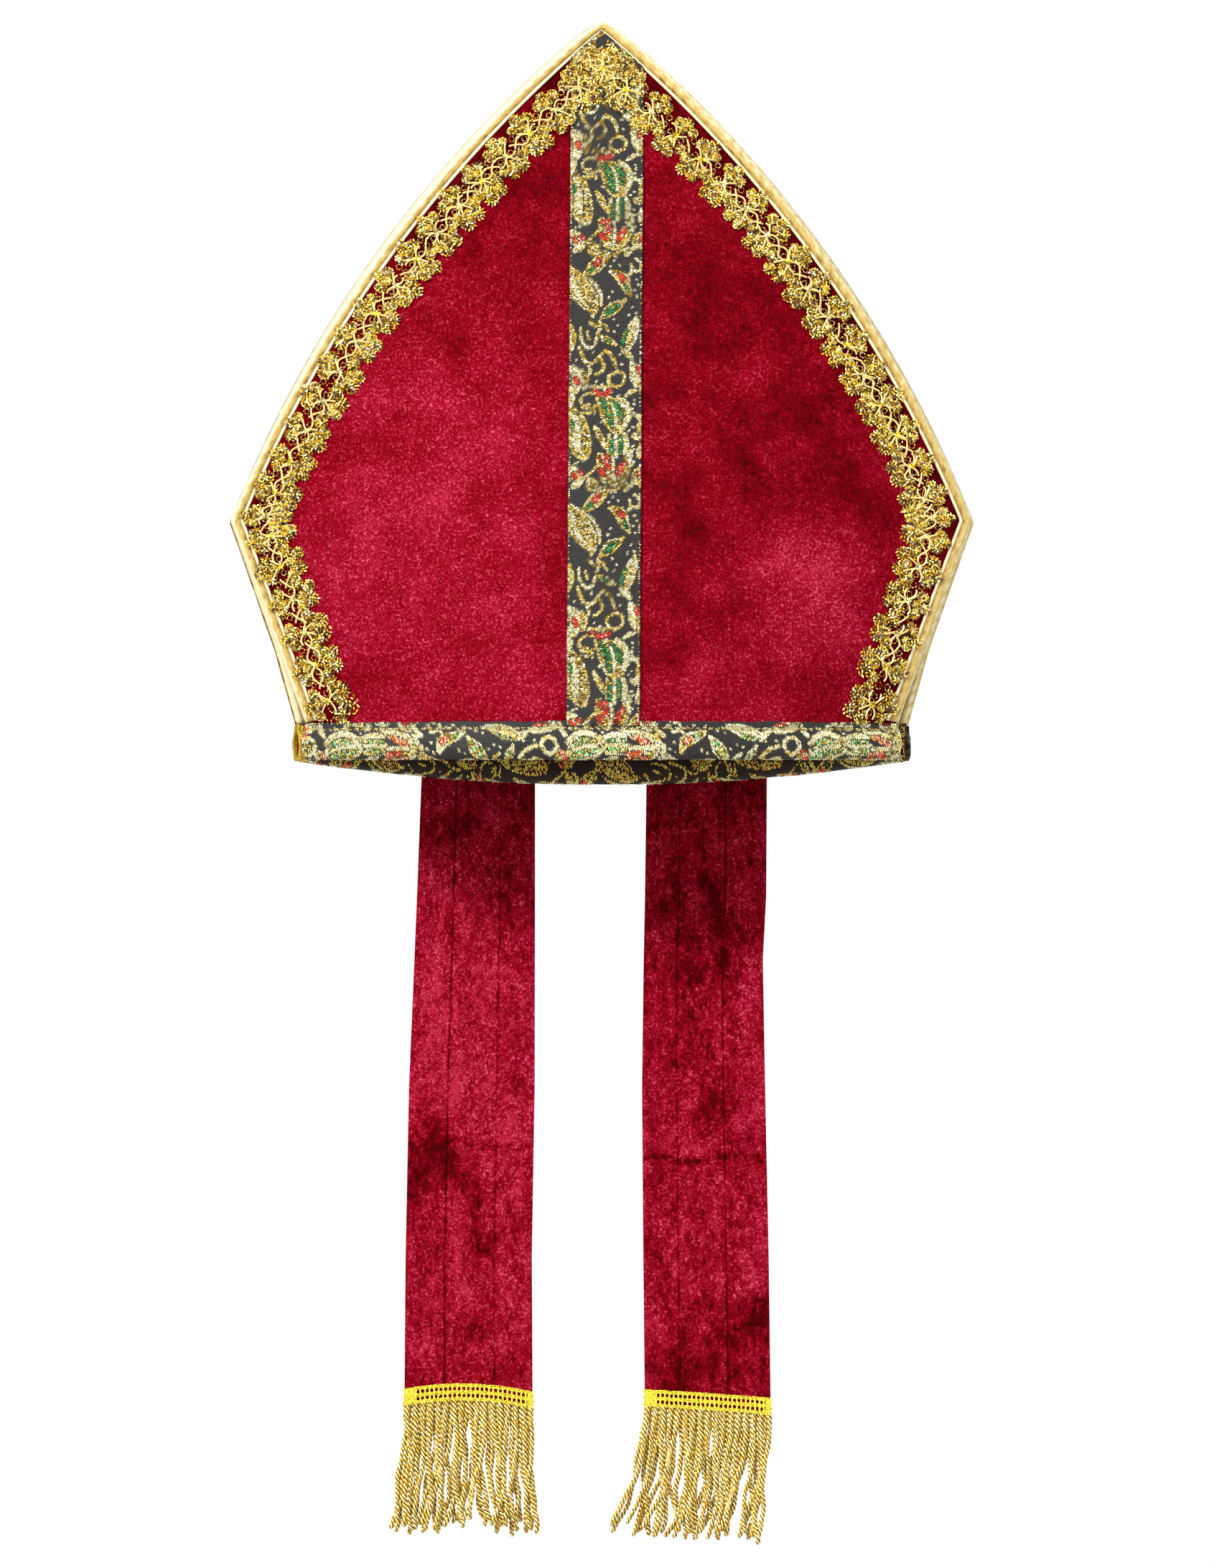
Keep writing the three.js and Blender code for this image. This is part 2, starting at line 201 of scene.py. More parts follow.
# %% A pale floor well below the fringe
FLOOR_HEIGHT = -2.0
FLOOR_REACH = 60.0
floor_mesh = bpy.data.meshes.new("floor")
floor_sides = ((-1, -1), (1, -1), (1, 1), (-1, 1))
floor_corners = [(x * FLOOR_REACH, y * FLOOR_REACH, FLOOR_HEIGHT) for x, y in floor_sides]
floor_mesh.from_pydata(floor_corners, [], [(0, 1, 2, 3)])
floor = bpy.data.objects.new("floor", floor_mesh)
scene.collection.objects.link(floor)
paper, paper_tree, paper_shader = start_material("floor paper", Roughness=0.95, Specular_IOR_Level=0.1)
grain = noise(paper_tree, object_place(paper_tree), 6, detail=3)
paper_stops = [(0.0, tint(226, 225, 222)), (1.0, tint(238, 237, 234))]
feed(paper_tree, paper_shader, {"Base Color": ramp(paper_tree, grain, paper_stops)})
floor_mesh.materials.append(paper)
print("floor, metres below the rim:", -FLOOR_HEIGHT)

# %% [markdown]
# ## The sheet that a panel is bent to
#
# Stiffened velvet bends but doesn't stretch, so a panel is a sheet that curves round the
# head at the rim and flattens towards the tip. Everything on the hat is sewn to one of
# the two sheets. One function therefore turns a place on the pattern (how far across, how
# high, how far off the cloth) into a place in space, and every other shape is drawn on
# the flat pattern. The shapes are worked out in millimetres and made metres at the end.

# %% Pattern sizes and the two sheets
# Heights go up the pattern from the rim, and depths out from the plane between the panels.
APEX_HEIGHT = 345.2
CORNER_HEIGHT = 111.0
RIM_DEPTH = 42.0
APEX_DEPTH = 7.0
RIM_DIP = 5.5
SEAM_DEPTH = 2.4
FLATTENING = 60.0
TOP_CURVE = 0.00051
BAND_HEIGHT = 15.4
BINDING_WIDTH = 6.0
BAND_GAP = 0.3
# Where the tip is and where its two edges would meet, how far the upper edges bow out, and
# the half widths at the side's corners.
FRONT = {
    "facing": -1,
    "apex": APEX_HEIGHT + 1.6,
    "meeting": APEX_HEIGHT + 4.0,
    "bow": 17.5,
    "heights": [0.0, BAND_HEIGHT, CORNER_HEIGHT],
    "half_widths": [138.0, 138.0, 173.4],
}
BACK = {
    "facing": 1,
    "apex": APEX_HEIGHT + 3.4,
    "meeting": APEX_HEIGHT + 7.2,
    "bow": 20.0,
    "heights": [0.0, BAND_HEIGHT, 50.0, CORNER_HEIGHT],
    "half_widths": [142.8, 142.8, 152.6, 173.8],
}


def together(*values):
    """Values side by side in a last axis, each spread to the shape that they share."""
    return np.stack(np.broadcast_arrays(*values), axis=-1)


def panel_depth(panel, x, height):
    """Distance from the plane between the panels: middle line minus curve times x squared.

    The middle line runs straight from the rim's depth to the tip's. The curve brings the
    side edge to the seam up to the corner, then fades to a flatter one."""
    def middle(h):
        """Depth of the middle line: the rim's plus the step to the tip's times the share of h."""
        return RIM_DEPTH + (APEX_DEPTH - RIM_DEPTH) * h / APEX_HEIGHT

    low = np.minimum(height, CORNER_HEIGHT)
    half_width = np.interp(low, panel["heights"], panel["half_widths"])
    seam_curve = (middle(low) - SEAM_DEPTH) / half_width**2
    fade = np.exp(-np.maximum(0, height - CORNER_HEIGHT) / FLATTENING)
    return middle(height) - (TOP_CURVE + (seam_curve - TOP_CURVE) * fade) * x**2


def sheet_point(panel, x, height):
    """Place on the sheet: x, the depth on the panel's side, and the height less the dip."""
    half_width = panel["half_widths"][0]
    dip = RIM_DIP * (1 - (x / half_width) ** 2) * np.maximum(0, 1 - height / CORNER_HEIGHT)
    return together(x, panel["facing"] * panel_depth(panel, x, height), height - dip)


def sheet_normal(panel, x, height):
    """Outward normal: the cross product of the steps across and up the sheet, unit long."""
    across = sheet_point(panel, x + 0.5, height) - sheet_point(panel, x - 0.5, height)
    up = sheet_point(panel, x, height + 0.5) - sheet_point(panel, x, height - 0.5)
    normal = np.cross(across, up) * -panel["facing"]
    return normal / np.linalg.norm(normal, axis=-1, keepdims=True)


def off_sheet(panel, x, height, offset):
    """Place on the sheet plus offset times the outward normal."""
    x, height, offset = np.broadcast_arrays(x, height, offset)
    normal = sheet_normal(panel, x, height)
    return sheet_point(panel, x, height) + offset[..., None] * normal


print("front rim middle, mm:", off_sheet(FRONT, 0.0, 0.0, 0.0).round(1))

# %% The edge of a panel, as a path with its inward direction
def edge_path(panel, step, blunt=True):
    """Right half of a panel's edge from rim to tip: rows of x, height, inward x, inward y.

    The side is straight between its corners, and the upper edge is the arc of a circle on
    the chord from corner to tip. Unless blunt is off, the tip is rounded: a point that lies
    d below where the edges meet goes to the root of d squared plus r squared below it.
    Inward directions are mitred: one unit along them moves both neighbouring edges in by
    one."""
    sides = np.column_stack([panel["half_widths"], panel["heights"]]).astype(float)
    rows = [sides[:1]]
    for start, end in zip(sides[:-1], sides[1:]):
        parts = np.arange(1, math.ceil(math.dist(start, end) / step) + 1)
        rows.append(start + (end - start) * parts[:, None] / len(parts))
    chord = np.array([0, panel["meeting"]]) - sides[-1]
    length = np.hypot(*chord)
    parts = np.arange(1, math.ceil(length / step) + 1) / math.ceil(length / step)
    radius = length**2 / (8 * panel["bow"]) + panel["bow"] / 2
    rise = np.sqrt(radius**2 - ((parts - 0.5) * length) ** 2) - (radius - panel["bow"])
    outward = np.array([chord[1], -chord[0]]) / length
    rows.append(sides[-1] + parts[:, None] * chord + rise[:, None] * outward)
    points = np.vstack(rows)
    if blunt:
        below = panel["meeting"] - points[:, 1]
        points[:, 1] = panel["meeting"] - np.hypot(below, panel["meeting"] - panel["apex"])
    steps = np.diff(np.vstack([points, points[-2] * [-1, 1]]), axis=0)
    steps /= np.linalg.norm(steps, axis=1, keepdims=True)
    before = np.vstack([steps[:1], steps[:-1]])
    inward = np.column_stack([-(before + steps)[:, 1], (before + steps)[:, 0]])
    inward /= np.linalg.norm(inward, axis=1, keepdims=True)
    turned = np.column_stack([-before[:, 1], before[:, 0]])
    inward /= np.sum(inward * turned, axis=1, keepdims=True)
    return np.hstack([points, inward])


def path_steps(path):
    """Distances between neighbouring points of an edge path."""
    return np.hypot(*np.diff(path[:, :2], axis=0).T)


def path_length(path):
    """Sum of an edge path's steps."""
    return float(np.sum(path_steps(path)))


def travelled(path):
    """Distance along an edge path to each of its points: the sum of the steps up to it."""
    return np.concatenate([[0], np.cumsum(path_steps(path))])


def travel_to(path, height):
    """Distance along an edge path at which it reaches a height."""
    return float(np.interp(height, path[:, 1], travelled(path)))


def beside_edge(path, travel, inward):
    """x and height at a distance travelled along an edge path and a distance inwards."""
    reach = travelled(path)
    x, height, to_x, to_height = (np.interp(travel, reach, column) for column in path.T)
    return x + inward * to_x, height + inward * to_height


print("front edge, rim to tip, mm:", round(path_length(edge_path(FRONT, 8))))

# %% [markdown]
# ## Small tools for surfaces, threads and stitches
#
# Nearly everything on the hat is one of three things: a sheet with two faces, a thread,
# or a crowd of tiny stitches. Each is made with whole arrays at once. A shell joins two
# grids of points round their border, a tube carries a small polygon along a path, and a
# bead is a stretched octahedron, which at a millimetre long is all that a stitch needs.

# %% Meshes from arrays, with painted values
def make_piece(name, points, faces, material, replaces=(), values=None, smooth=True):
    """New mesh object from points in mm and lists of face arrays of equal width.

    values maps a name to one number, or one colour, for each point."""
    mesh = bpy.data.meshes.new(name)
    mesh.vertices.add(len(points))
    mesh.vertices.foreach_set("co", (np.asarray(points) * MM).ravel())
    widths = np.concatenate([np.full(len(f), f.shape[1]) for f in faces])
    corners = np.concatenate([f.ravel() for f in faces]).astype(np.int32)
    mesh.loops.add(len(corners))
    mesh.loops.foreach_set("vertex_index", corners)
    mesh.polygons.add(len(widths))
    mesh.polygons.foreach_set("loop_start", np.concatenate([[0], np.cumsum(widths)[:-1]]))
    mesh.polygons.foreach_set("use_smooth", np.full(len(widths), smooth))
    mesh.update(calc_edges=True)
    mesh.validate()
    for key, value in (values or {}).items():
        value = np.asarray(value, float)
        if value.ndim == 1:
            mesh.attributes.new(key, "FLOAT", "POINT").data.foreach_set("value", value)
        else:
            rgba = np.column_stack([value, np.ones(len(value))])
            mesh.attributes.new(key, "FLOAT_COLOR", "POINT").data.foreach_set("color", rgba.ravel())
    mesh.materials.append(material)
    piece = bpy.data.objects.new(name, mesh)
    scene.collection.objects.link(piece)
    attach(piece, "root")
    if replaces:
        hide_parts(*replaces)
    print(f"{name}: {int(np.sum(widths - 2))} triangles, {np.ptp(points, axis=0).round(1)} mm")
    return piece


print("pieces are made in", scene.name)

# %% Closed shells, lofts and tubes
def grid_faces(rows, columns, wrap=False):
    """Quads between the points of a rows by columns grid; wrap joins last column to first."""
    row = np.arange(rows - 1)[:, None] * columns
    column = np.arange(columns if wrap else columns - 1)[None, :]
    following = (column + 1) % columns
    quads = [row + column, row + following, row + columns + following, row + columns + column]
    return together(*quads).reshape(-1, 4)


def shell(front, back):
    """Closed sheet from two grids of points: both faces and a strip round their border."""
    rows, columns = front.shape[:2]
    count = rows * columns
    index = np.arange(count).reshape(rows, columns)
    border = np.concatenate([index[0, :-1], index[:-1, -1], index[-1, :0:-1], index[:0:-1, 0]])
    onward = np.roll(border, -1)
    faces = grid_faces(rows, columns)
    strip = np.column_stack([border, border + count, onward + count, onward])
    points = np.concatenate([front.reshape(-1, 3), back.reshape(-1, 3)])
    return points, outward(points, [np.vstack([faces, faces[:, ::-1] + count, strip])])


def loft(rings):
    """Closed body through a row of rings of points, with a many-sided face on each end."""
    rows, columns = rings.shape[:2]
    ring = np.arange(columns)[None, :]
    points = rings.reshape(-1, 3)
    caps = [ring[:, ::-1], ring + (rows - 1) * columns]
    return points, outward(points, [grid_faces(rows, columns, wrap=True), *caps])


def outward(points, faces):
    """The same faces, all turned over where the volume that they hold comes out negative."""
    volume = 0.0
    for group in faces:
        a = points[group[:, 0]]
        for i in range(1, group.shape[1] - 1):
            b, c = points[group[:, i]], points[group[:, i + 1]]
            volume += float(np.sum(a * np.cross(b, c)))
    return faces if volume > 0 else [group[:, ::-1] for group in faces]


def unit(vectors):
    """Vectors divided by their lengths."""
    return vectors / np.maximum(np.linalg.norm(vectors, axis=-1, keepdims=True), 1e-9)


def tubes(paths, radius, up, sides=5, turn=0.0):
    """Threads along many paths at once: paths is (threads, points, 3).

    Each ring is centre plus radius times (cos a times side plus sin a times up), where
    side and up are square to the path. radius is one number, or one for each corner of
    each ring, and turn is what is added to a, one number or one for each ring."""
    along = unit(np.gradient(paths, axis=1))
    side = unit(np.cross(along, np.broadcast_to(up, paths.shape)))
    up = np.cross(side, along)
    angle = (np.arange(sides) * 2 * np.pi / sides + np.asarray(turn)[..., None])[..., None]
    threads, count = paths.shape[:2]
    radius = np.broadcast_to(radius, (threads, count, sides))[..., None]
    spoke = np.cos(angle) * side[:, :, None] + np.sin(angle) * up[:, :, None]
    rings = paths[:, :, None] + radius * spoke
    start = np.arange(threads)[:, None, None] * count * sides
    faces = (start + grid_faces(count, sides, wrap=True)).reshape(-1, 4)
    cap = np.arange(sides)
    first = (start[:, :, 0] + cap)[:, ::-1]
    last = start[:, :, 0] + (count - 1) * sides + cap
    points = rings.reshape(-1, 3)
    return points, outward(points, [faces, np.vstack([first, last])])


print("squares of a 3 by 3 grid:", len(grid_faces(3, 3)))

# %% Beads, joined meshes and smooth noise
BEAD_CORNERS = 6
BEAD_FACES = np.array(
    [[0, 2, 4], [2, 1, 4], [1, 3, 4], [3, 0, 4], [2, 0, 5], [1, 2, 5], [3, 1, 5], [0, 3, 5]]
)


def beads(centres, along, up, length, width, height):
    """Stretched octahedra: corners at half the length along, half the width to each side
    and half the height up and down, with along made square to up."""
    along = unit(along - up * np.sum(along * up, axis=-1, keepdims=True))
    side = np.cross(up, along)
    sizes = [np.broadcast_to(size, centres.shape[:1])[:, None] / 2 for size in (length, width, height)]
    arms = [along * sizes[0], side * sizes[1], up * sizes[2]]
    reaches = [-arms[0], arms[0], -arms[1], arms[1], arms[2], -arms[2]]
    points = np.stack([centres + reach for reach in reaches], axis=1).reshape(-1, 3)
    faces = (np.arange(len(centres))[:, None, None] * BEAD_CORNERS + BEAD_FACES).reshape(-1, 3)
    return points, outward(points, [faces])


def joined(parts):
    """Several (points, faces) made into one pair, each part's faces moved up in the count."""
    points, faces, start = [], [], 0
    for part_points, part_faces in parts:
        points.append(part_points)
        faces.extend(group + start for group in part_faces)
        start += len(part_points)
    return np.vstack(points), faces


def ripples(place, wavelength, seed, count=14):
    """Smooth noise between about -1 and 1: a sum of sines in random directions."""
    random = np.random.default_rng(seed)
    place = np.asarray(place, float)
    total = np.zeros(place.shape[:-1])
    for _ in range(count):
        direction = random.normal(size=place.shape[-1])
        direction *= 2 * np.pi / (wavelength * random.uniform(0.6, 1.7) * np.linalg.norm(direction))
        total += np.sin(place @ direction + random.uniform(0, 2 * np.pi))
    return total * math.sqrt(2 / count) / 2


print("surface tools ready")

# %% [markdown]
# ## Crushed velvet
#
# The pile of crushed velvet lies this way and that. Where it leans towards the light it
# is pink and silvery, where it leans away it is nearly black-red, and the change runs in
# patches of every size from a hand's breadth to a millimetre. A painted value called
# nap_and_shade says which way the large patches lean. It also holds painted shade where
# the lace or the band keeps light off the velvet and along a lappet's packing fold. Noise
# of three sizes breaks the patches up. The shine that the fibres give to a slanting view
# is the shader's sheen.

# %% Velvet
# The pile's colour from leaning away to leaning into the light, and that of its tips.
VELVET_STOPS = [
    (0.0, tint(58, 0, 2)), (0.25, tint(92, 0, 8)), (0.5, tint(116, 0, 17)),
    (0.75, tint(132, 6, 30)), (1.0, tint(154, 27, 50)),
]
VELVET_TIPS = tint(198, 84, 104)
MOTTLE_MM = 3.0
PILE_MM = 1.1
# How far the pile's lean is pulled down on a press line: painted shade of the crease.
PRESS_LINE_SHADE = 0.5
# Half the width of a press line at its foot and at its crest, as shares of the strap's width.
PRESS_LINE = (0.015, 0.002)


def steepened(tree, value, low, high):
    """0 below low, 1 above high and a smooth step between them."""
    inputs = {"Value": value, "From Min": low, "From Max": high}
    return add(tree, "MapRange", inputs, interpolation_type="SMOOTHSTEP").outputs["Result"]


def press_line_shade(tree, lines):
    """1 on each thin pressed line of a strap, where shade is painted, 0 off it, from the painted value
    across.
    """
    across = painted(tree, "across").outputs["Fac"]
    total = 0.0
    for place, strength in lines:
        gap = add(tree, "Math", {0: across, 1: place}, operation="SUBTRACT").outputs[0]
        gap = add(tree, "Math", {0: gap}, operation="ABSOLUTE").outputs[0]
        line = steepened(tree, gap, *PRESS_LINE)
        total = add(tree, "Math", {0: line, 1: strength, 2: total}, operation="MULTIPLY_ADD").outputs[0]
    return total


def pile_lean(tree, place, patch_mm, streak, patchy, crushed, lines):
    """Nap and painted shade plus patchy times a broad noise plus crushed times a mottle, less
    the painted shade of the pressed lines.

    streak above one draws both noises out along the height."""
    drawn = add(tree, "VectorMath", {0: place, 1: (1, 1, 1 / streak)}, operation="MULTIPLY").outputs[0]
    nap_and_shade = painted(tree, "nap_and_shade").outputs["Fac"]
    lean = add(tree, "Math", {0: nap_and_shade, 1: 0.5, 2: 0.5}, operation="MULTIPLY_ADD").outputs[0]
    lean = blend_in(tree, noise(tree, drawn, patch_mm, detail=9, roughness=0.66), patchy, lean)
    lean = blend_in(tree, noise(tree, drawn, MOTTLE_MM, detail=6, roughness=0.85), crushed, lean)
    if not lines:
        return lean
    # Painted shade of the crease along each press line, faded out in places by a broad noise.
    faded = steepened(tree, noise(tree, place, 16, detail=3), 0.26, 0.5)
    pull = add(tree, "Math", {0: press_line_shade(tree, lines), 1: faded}, operation="MULTIPLY").outputs[0]
    return add(tree, "Math", {0: pull, 1: -PRESS_LINE_SHADE, 2: lean}, operation="MULTIPLY_ADD").outputs[0]


def velvet_material(name, patch_mm, streak, patchy, crushed, lines=()):
    """Colour read off the pile's lean and painted shade, with bright tips where the pile is lit.

    Tips are the peaks of a fine noise, and show only where the lean is towards the light."""
    material, tree, shader = start_material(
        name, Roughness=0.85, Specular_IOR_Level=0.02, Sheen_Weight=0.05, Sheen_Roughness=0.35,
        Sheen_Tint=tint(255, 60, 100),
    )
    place = object_place(tree)
    lean = pile_lean(tree, place, patch_mm, streak, patchy, crushed, lines)
    pile = noise(tree, place, PILE_MM, detail=3, roughness=0.7)
    cloth = ramp(tree, blend_in(tree, pile, 1.2, lean), VELVET_STOPS)
    tips = steepened(tree, pile, 0.54, 0.7)
    lit = steepened(tree, lean, 0.2, 0.95)
    share = add(tree, "Math", {0: tips, 1: lit}, operation="MULTIPLY").outputs[0]
    bump = add(tree, "Bump", {"Height": pile, "Strength": 0.5, "Distance": 0.5 * MM})
    colour = mix_colours(tree, share, cloth, VELVET_TIPS)
    feed(tree, shader, {"Base Color": colour, "Normal": bump.outputs["Normal"]})
    return material


PANEL_VELVET = velvet_material("panel velvet", 26, 1.0, 1.3, 1.1)
print("velvet:", PANEL_VELVET.name)

# %% Facing cloth
WEAVE_SCALE = 420.0


def facing_material():
    """Off-white woven stiffener: two sets of fine waves for the weave and a faint mottle."""
    material, tree, shader = start_material("facing cloth", Roughness=0.9, Specular_IOR_Level=0.2)
    place = object_place(tree)
    waves = {"Vector": place, "Scale": WEAVE_SCALE}
    warp, weft = (add(tree, "TexWave", waves, bands_direction=way).outputs["Fac"] for way in "XZ")
    weave = add(tree, "Math", {0: warp, 1: weft}, operation="MULTIPLY").outputs[0]
    value = blend_in(tree, noise(tree, place, 12), 0.5, weave)
    colour = ramp(tree, value, [(0.0, tint(160, 155, 146)), (1.0, tint(190, 187, 180))])
    bump = add(tree, "Bump", {"Height": weave, "Strength": 0.3, "Distance": 0.2 * MM})
    feed(tree, shader, {"Base Color": colour, "Normal": bump.outputs["Normal"]})
    return material


FACING_CLOTH = facing_material()
print("facing:", FACING_CLOTH.name)

# %% [markdown]
# ## The panels
#
# Each panel is a shell two millimetres thick on its sheet, cut a little inside the edge
# so that the binding can close over it. Where the velvet shows, the nap is painted from
# a short table of soft patches. On the front, painted shade is added near the edge,
# under the lace.

# %% Nap patches on the two panels
# Each patch: its middle, x and height, its reach across and up, its turn in degrees, and
# how far it leans to the light, below zero where it leans away.
FRONT_NAP = [
    (-83, 118, 62, 62, 0, 0.5), (-70, 40, 60, 34, 0, 0.22), (-42, 262, 30, 48, 30, -0.35),
    (-50, 200, 34, 34, 0, 0.05), (70, 150, 75, 130, 0, -0.4), (99, 76, 40, 34, 15, 0.85),
    (70, 176, 6, 17, 22, 0.5), (48, 145, 13, 15, 0, 0.35), (108, 150, 16, 40, -25, -0.3),
    (36, 100, 12, 40, 8, -0.12), (60, 30, 30, 22, 0, 0.3), (132, 100, 10, 30, -10, -0.25),
]
BACK_NAP = [(-60, 150, 60, 80, 10, 0.25), (70, 90, 50, 70, 0, -0.2), (20, 240, 40, 50, 0, -0.15)]


def soft_patches(x, height, table):
    """Sum of each patch's strength times exp(-(across/reach)^2 - (up/reach)^2), turned."""
    total = np.zeros(np.broadcast(x, height).shape)
    for centre_x, centre_height, reach_x, reach_height, turn, strength in table:
        angle = math.radians(turn)
        right, up = x - centre_x, height - centre_height
        across = (right * math.cos(angle) - up * math.sin(angle)) / reach_x
        along = (right * math.sin(angle) + up * math.cos(angle)) / reach_height
        total += strength * np.exp(-(across**2) - along**2)
    return total


def lace_shade(x, height):
    """How much darker the nap is near the front's edge, where lace keeps the light off it.

    The distance to the edge is the least one to the points of the edge path."""
    edge = edge_path(FRONT, 3)[:, :2]
    gap = np.hypot(np.abs(x)[..., None] - edge[:, 0], height[..., None] - edge[:, 1]).min(axis=-1)
    return -0.75 * np.clip((24 - gap) / 3, 0, 1)


print("nap patches:", len(FRONT_NAP), "in front,", len(BACK_NAP), "behind")

# %% Panels as shells on their sheets
PANEL_THICKNESS = 2.0
EDGE_INSET = 1.3
TIP_GAP = 2.2
TIP_HALF_WIDTH = 1.2


def panel_grid(panel, rows, columns):
    """x and height on a grid that fills the panel's outline, moved in by the binding's wall."""
    path = edge_path(panel, 2)
    travel = np.linspace(0, path_length(path), 400)
    edge_x, edge_height = beside_edge(path, travel, EDGE_INSET)
    height = np.linspace(0, panel["apex"] - EDGE_INSET - TIP_GAP, rows)[:, None]
    half_width = np.maximum(TIP_HALF_WIDTH, np.interp(height, edge_height, edge_x))
    across = np.linspace(-1, 1, columns)[None, :]
    return across * half_width, np.broadcast_to(height, (rows, columns))


def make_panel(name, node, panel, rows, columns, nap_table, seed):
    """Both faces of a panel, with shallow puckers that the two faces share."""
    x, height = panel_grid(panel, rows, columns)
    place = together(x, height)
    pucker = 0.35 * ripples(place, 70, seed) + 0.12 * ripples(place, 22, seed + 1)
    outer = off_sheet(panel, x, height, pucker + PANEL_THICKNESS / 2)
    inner = off_sheet(panel, x, height, pucker - PANEL_THICKNESS / 2)
    points, faces = shell(outer, inner)
    nap_and_shade = soft_patches(x, height, nap_table)
    if panel is FRONT:
        nap_and_shade = nap_and_shade + lace_shade(x, height)
    values = {"nap_and_shade": np.tile(nap_and_shade.ravel(), 2)}
    piece = make_piece(name, points, faces, PANEL_VELVET, [node], values)
    piece.data.materials.append(FACING_CLOTH)
    inner_face = np.all(faces[0] >= rows * columns, axis=1)
    piece.data.polygons.foreach_set("material_index", inner_face.astype(np.int32))


make_panel("front_velvet", "front_panel", FRONT, 100, 84, FRONT_NAP, 3)
make_panel("back_velvet", "back_panel", BACK, 84, 72, BACK_NAP, 7)

# %% [markdown]
# ## The satin binding
#
# A bias strip of gold satin is folded over the raw edge and stitched through. The fold
# stays a little puffed, the stitching pulls a groove beside it, and a narrow flat lip lies
# between the groove and the lace. The crown of the fold and the lip are painted pale, as
# highlights, and the groove dark, as shade. The piece is that profile carried along the
# whole edge, with the slight slanting wrinkles that a bias strip always has.

# %% Satin
def satin_material():
    """Cream to tan satin: a painted fold value of highlight and shade picks the colour, fine
    slanting threads the bump.
    """
    material, tree, shader = start_material(
        "binding satin", Roughness=0.42, Metallic=0.0, Specular_IOR_Level=0.35, Sheen_Weight=0.05,
        Sheen_Roughness=0.4, Sheen_Tint=tint(255, 236, 190),
    )
    place = object_place(tree)
    fold = painted(tree, "fold").outputs["Fac"]
    value = blend_in(tree, noise(tree, place, 4, detail=4, roughness=0.6), 0.6, fold)
    value = blend_in(tree, noise(tree, place, 0.6, detail=1), 0.3, value)
    stops = [
        (0.0, tint(84, 54, 12)), (0.25, tint(146, 112, 48)), (0.5, tint(176, 148, 80)),
        (0.75, tint(190, 168, 100)), (1.0, tint(212, 202, 164)),
    ]
    waves = {"Vector": place, "Scale": 620.0, "Distortion": 1.5}
    threads = add(tree, "TexWave", waves, bands_direction="DIAGONAL").outputs["Fac"]
    bump = add(tree, "Bump", {"Height": threads, "Strength": 0.18, "Distance": 0.15 * MM})
    feed(tree, shader, {"Base Color": ramp(tree, value, stops), "Normal": bump.outputs["Normal"]})
    return material


BINDING_SATIN = satin_material()
print("binding:", BINDING_SATIN.name)

# %% Binding profile
# Each row is the distance in from the edge, the offset from the sheet's middle, and the
# painted fold value of light and shade: 1 is the painted highlight on the crown of the
# fold, 0 the painted shade in the groove, and the lip's values above 1 are a painted
# highlight too.
BINDING_FACE = np.array(
    [
        (6.1, 1.05, 0.7), (6.05, 1.5, 1.25), (5.5, 1.6, 1.3), (4.9, 1.55, 1.2), (4.65, 1.4, 0.12),
        (4.3, 1.6, 0.3), (3.8, 1.95, 0.44), (3.1, 2.25, 0.58), (2.4, 2.35, 0.66), (1.7, 2.25, 0.74),
        (1.0, 1.9, 0.9), (0.4, 1.3, 0.9), (0.0, 0.45, 0.6),
    ]
)
BINDING_HOLLOW = [(1.35, -1.05, 0.3), (1.35, 1.05, 0.3)]
# Over the outer face, round the edge, over the other face and back inside the fold.
BINDING_PROFILE = np.vstack([BINDING_FACE, BINDING_FACE[::-1] * [1, -1, 1], BINDING_HOLLOW])
LIP_START = 4.4
print("corners of the profile:", len(BINDING_PROFILE))

# %% Binding carried along the edge
BINDING_STATIONS = 230
WRINKLE_DEPTH = 0.2
CRUMPLE_SHADE = 0.24
LAMP_SIDE = 0.5


def binding_place(panel, travel, inward):
    """x and height on the right half: the fold goes round the blunt tip, the lip keeps to
    the sharp one, and neither goes below the band."""
    path = edge_path(panel, 2)
    sharp = edge_path(panel, 8, blunt=False)
    x, height = beside_edge(path, travel, inward)
    sharp_x, sharp_height = beside_edge(sharp, travel * path_length(sharp) / path_length(path), inward)
    lip = inward > LIP_START
    x, height = np.where(lip, sharp_x, x), np.where(lip, sharp_height, height)
    return x, np.maximum(height, BAND_HEIGHT + BAND_GAP)


